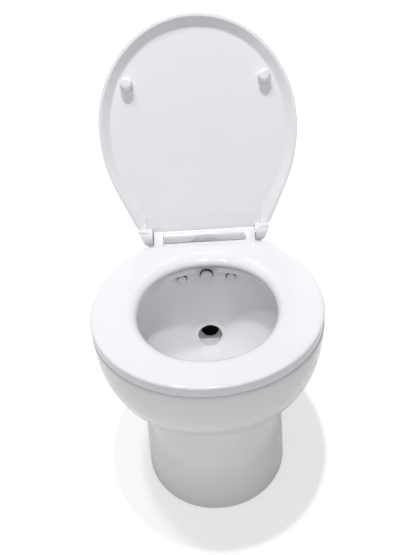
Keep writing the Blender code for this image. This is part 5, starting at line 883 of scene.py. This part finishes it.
key = brick("release_key", (-KEY_HALF, front, KEY_LOW), (KEY_HALF, front + KEY_DEEP, KEY_HIGH), KEY_EDGE)
key_middle = front + KEY_DEEP / 2
bore = rod("key_bore", KEY_BORE, (0, key_middle, KEY_BORE_LOW), (0, key_middle, KEY_BORE_HIGH), 32)
carve(key, "DIFFERENCE", bore)
smooth(key, 40)
key_grey = glaze("key_plastic", KEY_GREY, gloss=0.25, wave=0.0003, fleck=0.02)
dress(key, key_grey)
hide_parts("release_button")
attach(key, "button")


# Spray nozzles.
# Capped white plastic heads on the ends of the water spigots: a wide one in the middle, which shows through
# the notch in the rim, and one to each side, half hidden by the rim. Each stands off the wall on its neck.
# Each row holds the names of the nozzle and of the dark ring of painted shadow behind it, and the place,
# head, depth, neck and ring radius.
NOZZLES = (
    ("spreader_nozzle", "spreader_shade_ring", 0.0, 0.0118, 0.0045, 0.0085, 0.0125),
    ("side_jet_left", "left_jet_shade_ring", -0.045, 0.0085, 0.004, 0.0075, 0.0092),
    ("side_jet_right", "right_jet_shade_ring", 0.045, 0.0085, 0.004, 0.0075, 0.0092),
)
NOZZLE_Z, NOZZLE_GAP, NOZZLE_BORE, SHOULDER = 0.2945, 0.001, 0.0063, 0.006
HEAD_REAR_EDGE, HEAD_FRONT_EDGE, HEAD_ARRIS, NECK_EDGE = 0.0008, 0.0013, 0.0005, 0.0006
DENT, DENT_SHARE, DENT_FLOOR_SHARE = 0.0004, 0.45, 0.42
NOZZLE_WHITE = (0.76, 0.765, 0.775)

nozzle_white = glaze("nozzle_plastic", NOZZLE_WHITE, gloss=0.22, wave=0.0003, fleck=0.02)


def nozzle_foot(x, neck):
    """Where a nozzle's neck leaves the basin's rear wall."""
    return Vector((x, basin_wall(abs(x) + neck, BASIN_TOP).y - NOZZLE_GAP, NOZZLE_Z))


for name, shade_ring_name, x, head, deep, neck, shade_ring_radius in NOZZLES:
    face = SHOULDER + deep
    cap = turned(f"{name}_cap", [
        (NOZZLE_BORE, 0.0), (neck, 0.0), (neck, SHOULDER - NECK_EDGE), (neck + NECK_EDGE, SHOULDER),
        (head - HEAD_REAR_EDGE, SHOULDER), (head, SHOULDER + HEAD_REAR_EDGE),
        (head, face - HEAD_FRONT_EDGE), (head - DENT, face - HEAD_ARRIS), (head - HEAD_FRONT_EDGE, face),
        (head * DENT_SHARE, face), (head * DENT_FLOOR_SHARE, face - DENT), (0.0, face - DENT),
    ])
    stand(cap, (0, -1, 0), nozzle_foot(x, neck))
    smooth(cap)
    dress(cap, nozzle_white)
    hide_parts(name)
    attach(cap, "toilet")


# Seat pads.
# Four soft white pads with stems pressed into the seat's underside, which it stands on. They are moulded in
# the same soft plastic as the lid's bumpers, a little more scuffed.
GRAIN_SHARE, PATCH_SHARE, DARK_UP_TO, BRIGHT_FROM, GLOSS_SPAN = 0.35, 0.65, 0.36, 0.62, (0.3, 0.7)


def grained(name, shades, patch, gloss, grain, depth, run=(1, 1, 1), metal=0.0, coat=0.0, strength=0.5):
    """Patches between two shades, patchy gloss and a fine grain that runs the given way, sized in metres."""
    made, tree, shader = new_finish(name, Metallic=metal, Coat_Weight=coat)
    spot = add(tree, "TexCoord").outputs["Object"]
    turn = add(tree, "Mapping", Scale=run)
    tree.links.new(spot, turn.inputs["Vector"])
    fine = noise(tree, turn.outputs["Vector"], 1 / grain, 3.0)
    patches = maths(tree, "MULTIPLY", noise(tree, spot, 1 / patch, 4.0), PATCH_SHARE)
    both = maths(tree, "MULTIPLY_ADD", fine, GRAIN_SHARE, patches)
    colour = shaded(tree, both, *shades, DARK_UP_TO, BRIGHT_FROM)
    surface(tree, shader, colour, both, gloss, fine, strength, depth, GLOSS_SPAN)
    return made


def give(finish, *names):
    """Puts a finish on CAD pieces whose shapes are right."""
    for name in names:
        mesh = nodes[name].data
        for i in range(len(mesh.materials)):
            mesh.materials[i] = finish


pad_white = grained(
    "pad_plastic", ((0.70, 0.70, 0.70), (0.80, 0.81, 0.83)),
    0.006, (0.34, 0.52), 0.0006, 0.00004,
)
give(pad_white, *(f"seat_buffer_{end}_{side}" for end in ("rear", "front") for side in ("left", "right")))


# Dampers, pins, studs and wing nuts.
# The seat and lid turn on stainless steel pins, slowed by two grey oil dampers in the lid's knuckles. Turned
# steel studs hold the bar down through the deck, with moulded wing nuts below. A wire spring loads the key.
ACROSS, UPRIGHT, LENGTHWISE = (1.0, 0.04, 0.04), (0.04, 0.04, 1.0), (0.04, 1.0, 0.04)
damper_grey = grained(
    "damper_plastic", ((0.30, 0.31, 0.33), (0.40, 0.41, 0.43)),
    0.008, (0.30, 0.50), 0.0005, 0.00003,
)
pin_steel = grained(
    "turned_steel_across", ((0.52, 0.53, 0.55), (0.70, 0.71, 0.73)),
    0.010, (0.16, 0.36), 0.0004, 0.00002, ACROSS, 1.0,
)
stud_steel = grained(
    "turned_steel_upright", ((0.50, 0.51, 0.53), (0.69, 0.70, 0.72)),
    0.010, (0.18, 0.38), 0.0004, 0.00002, UPRIGHT, 1.0,
)
spring_steel = grained(
    "spring_steel", ((0.42, 0.43, 0.45), (0.62, 0.63, 0.65)),
    0.004, (0.20, 0.42), 0.0003, 0.00001, metal=1.0,
)
nut_plastic = grained(
    "wing_nut_plastic", ((0.66, 0.66, 0.65), (0.76, 0.76, 0.75)),
    0.010, (0.34, 0.54), 0.0005, 0.00004,
)
give(damper_grey, "soft_close_damper_left", "soft_close_damper_right")
give(pin_steel, "hinge_pin_left", "hinge_pin_right")
give(stud_steel, "hinge_stud_left", "hinge_stud_right")
give(spring_steel, "button_spring")
give(nut_plastic, "wing_nut_left", "wing_nut_right")


# Water manifold, flush hose and clamps.
# A moulded pipe behind the basin feeds the three nozzles. A flexible hose with a woven reinforcement brings
# the water up to it from the valve, held at both ends by stainless worm-drive bands.
THREAD_LEAN, THREAD_SCALE, THREAD_DRIFT, THREAD_RELIEF = 38, 70.0, 0.3, 0.0003
HOSE_CLOUDS, HOSE_GLOSS = 60.0, (0.25, 0.50)
HOSE_WALL, HOSE_THREAD = (0.52, 0.55, 0.57), (0.80, 0.81, 0.81)
pipe_white = grained(
    "pipe_plastic", ((0.64, 0.645, 0.64), (0.76, 0.76, 0.755)),
    0.020, (0.26, 0.46), 0.0008, 0.00004,
)
give(pipe_white, "water_manifold")


def waves(tree, vector, direction, **sockets):
    bands = add(tree, "TexWave", **sockets)
    bands.bands_direction = direction
    tree.links.new(vector, bands.inputs["Vector"])
    return bands.outputs["Fac"]


woven, tree, shader = new_finish("reinforced_hose", Coat_Weight=0.5, Coat_Roughness=0.12)
spot = add(tree, "TexCoord").outputs["Object"]
threads = []
for lean in (THREAD_LEAN, -THREAD_LEAN):
    turn = add(tree, "Mapping", Rotation=(math.radians(lean), math.radians(lean), 0))
    tree.links.new(spot, turn.inputs["Vector"])
    threads.append(waves(tree, turn.outputs["Vector"], "Z", Scale=THREAD_SCALE, Distortion=THREAD_DRIFT))
net = maths(tree, "MAXIMUM", *threads)
colour = shaded(tree, net, HOSE_WALL, HOSE_THREAD, 0.70, 0.93)
surface(tree, shader, colour, noise(tree, spot, HOSE_CLOUDS), HOSE_GLOSS, net, 0.35, THREAD_RELIEF)
give(woven, "flush_hose")

band_steel = grained(
    "rolled_steel", ((0.46, 0.47, 0.49), (0.68, 0.69, 0.71)),
    0.007, (0.22, 0.44), 0.0004, 0.00003, UPRIGHT, 1.0,
)
give(band_steel, "hose_clamp_lower", "hose_clamp_upper")


# Water valve.
# A solenoid valve on the plate's upright: a moulded body, a black rubber diaphragm, a drawn steel guide tube
# with its sprung plunger, and a coil potted in black plastic. The pump's seals and mat are of that rubber.
coil_black = grained(
    "coil_plastic", ((0.028, 0.029, 0.031), (0.060, 0.061, 0.064)),
    0.007, (0.36, 0.58), 0.0005, 0.00005,
)
black_rubber = grained(
    "black_rubber", ((0.022, 0.022, 0.023), (0.052, 0.052, 0.053)),
    0.009, (0.55, 0.78), 0.0006, 0.00006,
)
give(pipe_white, "valve_body")
give(black_rubber, "valve_diaphragm", "pump_inlet_gasket", "cover_seal", "joker_valve", "shaft_seal",
     "pump_mount_pad")
give(stud_steel, "valve_guide_tube", "valve_plunger")
give(spring_steel, "plunger_spring")
give(coil_black, "valve_coil")


# Dark rings behind the nozzles: painted shadow.
# Black rubber rings round the nozzles' necks, a little wider than their heads, stand in for the shadowed
# gaps between the heads and the china and show as dark edges behind them. They are made last of the water
# pieces because they share the rubber.
SHADE_RING_REAR, SHADE_RING_FRONT, SHADE_RING_EDGE, SHADE_RING_ROOM = 0.0016, 0.0056, 0.0006, 0.0003
for name, shade_ring_name, x, head, deep, neck, shade_ring_radius in NOZZLES:
    bore, shoulder = neck + SHADE_RING_ROOM, shade_ring_radius - SHADE_RING_EDGE
    # Painted shadow: a black ring wider than the head, where there is only the shaded gap behind it.
    seal = turned(shade_ring_name, [
        (bore, SHADE_RING_REAR), (shoulder, SHADE_RING_REAR), (shade_ring_radius, SHADE_RING_REAR + SHADE_RING_EDGE),
        (shade_ring_radius, SHADE_RING_FRONT - SHADE_RING_EDGE), (shoulder, SHADE_RING_FRONT), (bore, SHADE_RING_FRONT), (bore, SHADE_RING_REAR),
    ])
    stand(seal, (0, -1, 0), nozzle_foot(x, neck))
    smooth(seal)
    dress(seal, black_rubber)
    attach(seal, "toilet")


# Pump housing, cover and outlet.
# Glass-filled black plastic mouldings, dull and a little mottled: the housing that takes the bowl's outlet,
# its cover with a screwed ring, the outlet spout and the motor's cable gland. Rubber seals sit between them.
housing_black = grained(
    "glass_filled_plastic", ((0.030, 0.032, 0.036), (0.078, 0.080, 0.086)),
    0.012, (0.38, 0.62), 0.0009, 0.00008,
)
give(housing_black, "macerator_housing", "macerator_cover", "cover_ring", "discharge_spout", "cable_gland")


# Cutter, impeller and shaft.
# Two ground steel cutting pieces, a grey moulded impeller behind them, and the turned shaft that drives both
# and runs in the motor's bearing.
ground_steel = grained(
    "ground_steel", ((0.50, 0.51, 0.52), (0.74, 0.75, 0.77)),
    0.009, (0.18, 0.40), 0.0003, 0.00003, LENGTHWISE, 1.0,
)
give(ground_steel, "cutter_blade", "cutter_grid", "motor_bearing")
give(damper_grey, "impeller")
give(pin_steel, "pump_shaft")


# Motor.
# A die-cast flange and a rolled steel can in dark satin paint with a slight orange peel. Inside are a dull
# sintered ring magnet and the wound armature under its varnish.
WIRE_SCALE, WIRE_DRIFT, WIRE_GLOSS, WIRE_RELIEF = 260.0, 0.6, (0.55, 0.28), 0.0003
WIRE_DARK, WIRE_BRIGHT = (0.13, 0.055, 0.025), (0.52, 0.27, 0.14)
cast_alloy = grained(
    "cast_alloy", ((0.40, 0.41, 0.43), (0.60, 0.61, 0.63)),
    0.010, (0.38, 0.60), 0.0012, 0.00012, metal=1.0,
)
motor_paint = grained(
    "motor_paint", ((0.135, 0.143, 0.152), (0.180, 0.190, 0.200)),
    0.025, (0.26, 0.42), 0.0018, 0.00007, coat=0.25,
)
ferrite = grained(
    "ferrite", ((0.060, 0.058, 0.058), (0.105, 0.102, 0.102)),
    0.004, (0.55, 0.80), 0.0004, 0.00006,
)
give(cast_alloy, "motor_flange")
give(motor_paint, "motor_can", "motor_end_bell")
give(ferrite, "motor_magnet")

winding, tree, shader = new_finish("varnished_copper", Metallic=0.7, Coat_Weight=0.5, Coat_Roughness=0.15)
spot = add(tree, "TexCoord").outputs["Object"]
wires = waves(tree, spot, "X", Scale=WIRE_SCALE, Distortion=WIRE_DRIFT, Detail=1.0)
colour = shaded(tree, wires, WIRE_DARK, WIRE_BRIGHT, 0.05, 0.60)
surface(tree, shader, colour, wires, WIRE_GLOSS, wires, 0.8, WIRE_RELIEF)
give(winding, "motor_armature")


# Base plate, floor brackets, screws and caps.
# A bent stainless plate carries pump and valve. Two moulded angles inside the pedestal take its side screws,
# whose heads hide under white push-on caps.
plate_steel = grained(
    "brushed_plate", ((0.48, 0.49, 0.51), (0.66, 0.67, 0.69)),
    0.030, (0.26, 0.46), 0.0005, 0.00003, LENGTHWISE, 1.0,
)
bracket_plastic = grained(
    "bracket_plastic", ((0.62, 0.62, 0.61), (0.73, 0.73, 0.72)),
    0.015, (0.36, 0.58), 0.0007, 0.00005,
)
cap_white = glaze("cap_plastic", SOFT_WHITE, gloss=0.20, wave=0.0003)
give(plate_steel, "base_plate")
give(bracket_plastic, "floor_bracket_left", "floor_bracket_right")
give(pin_steel, "fixing_screw_left", "fixing_screw_right")
give(cap_white, "screw_cap_left", "screw_cap_right")
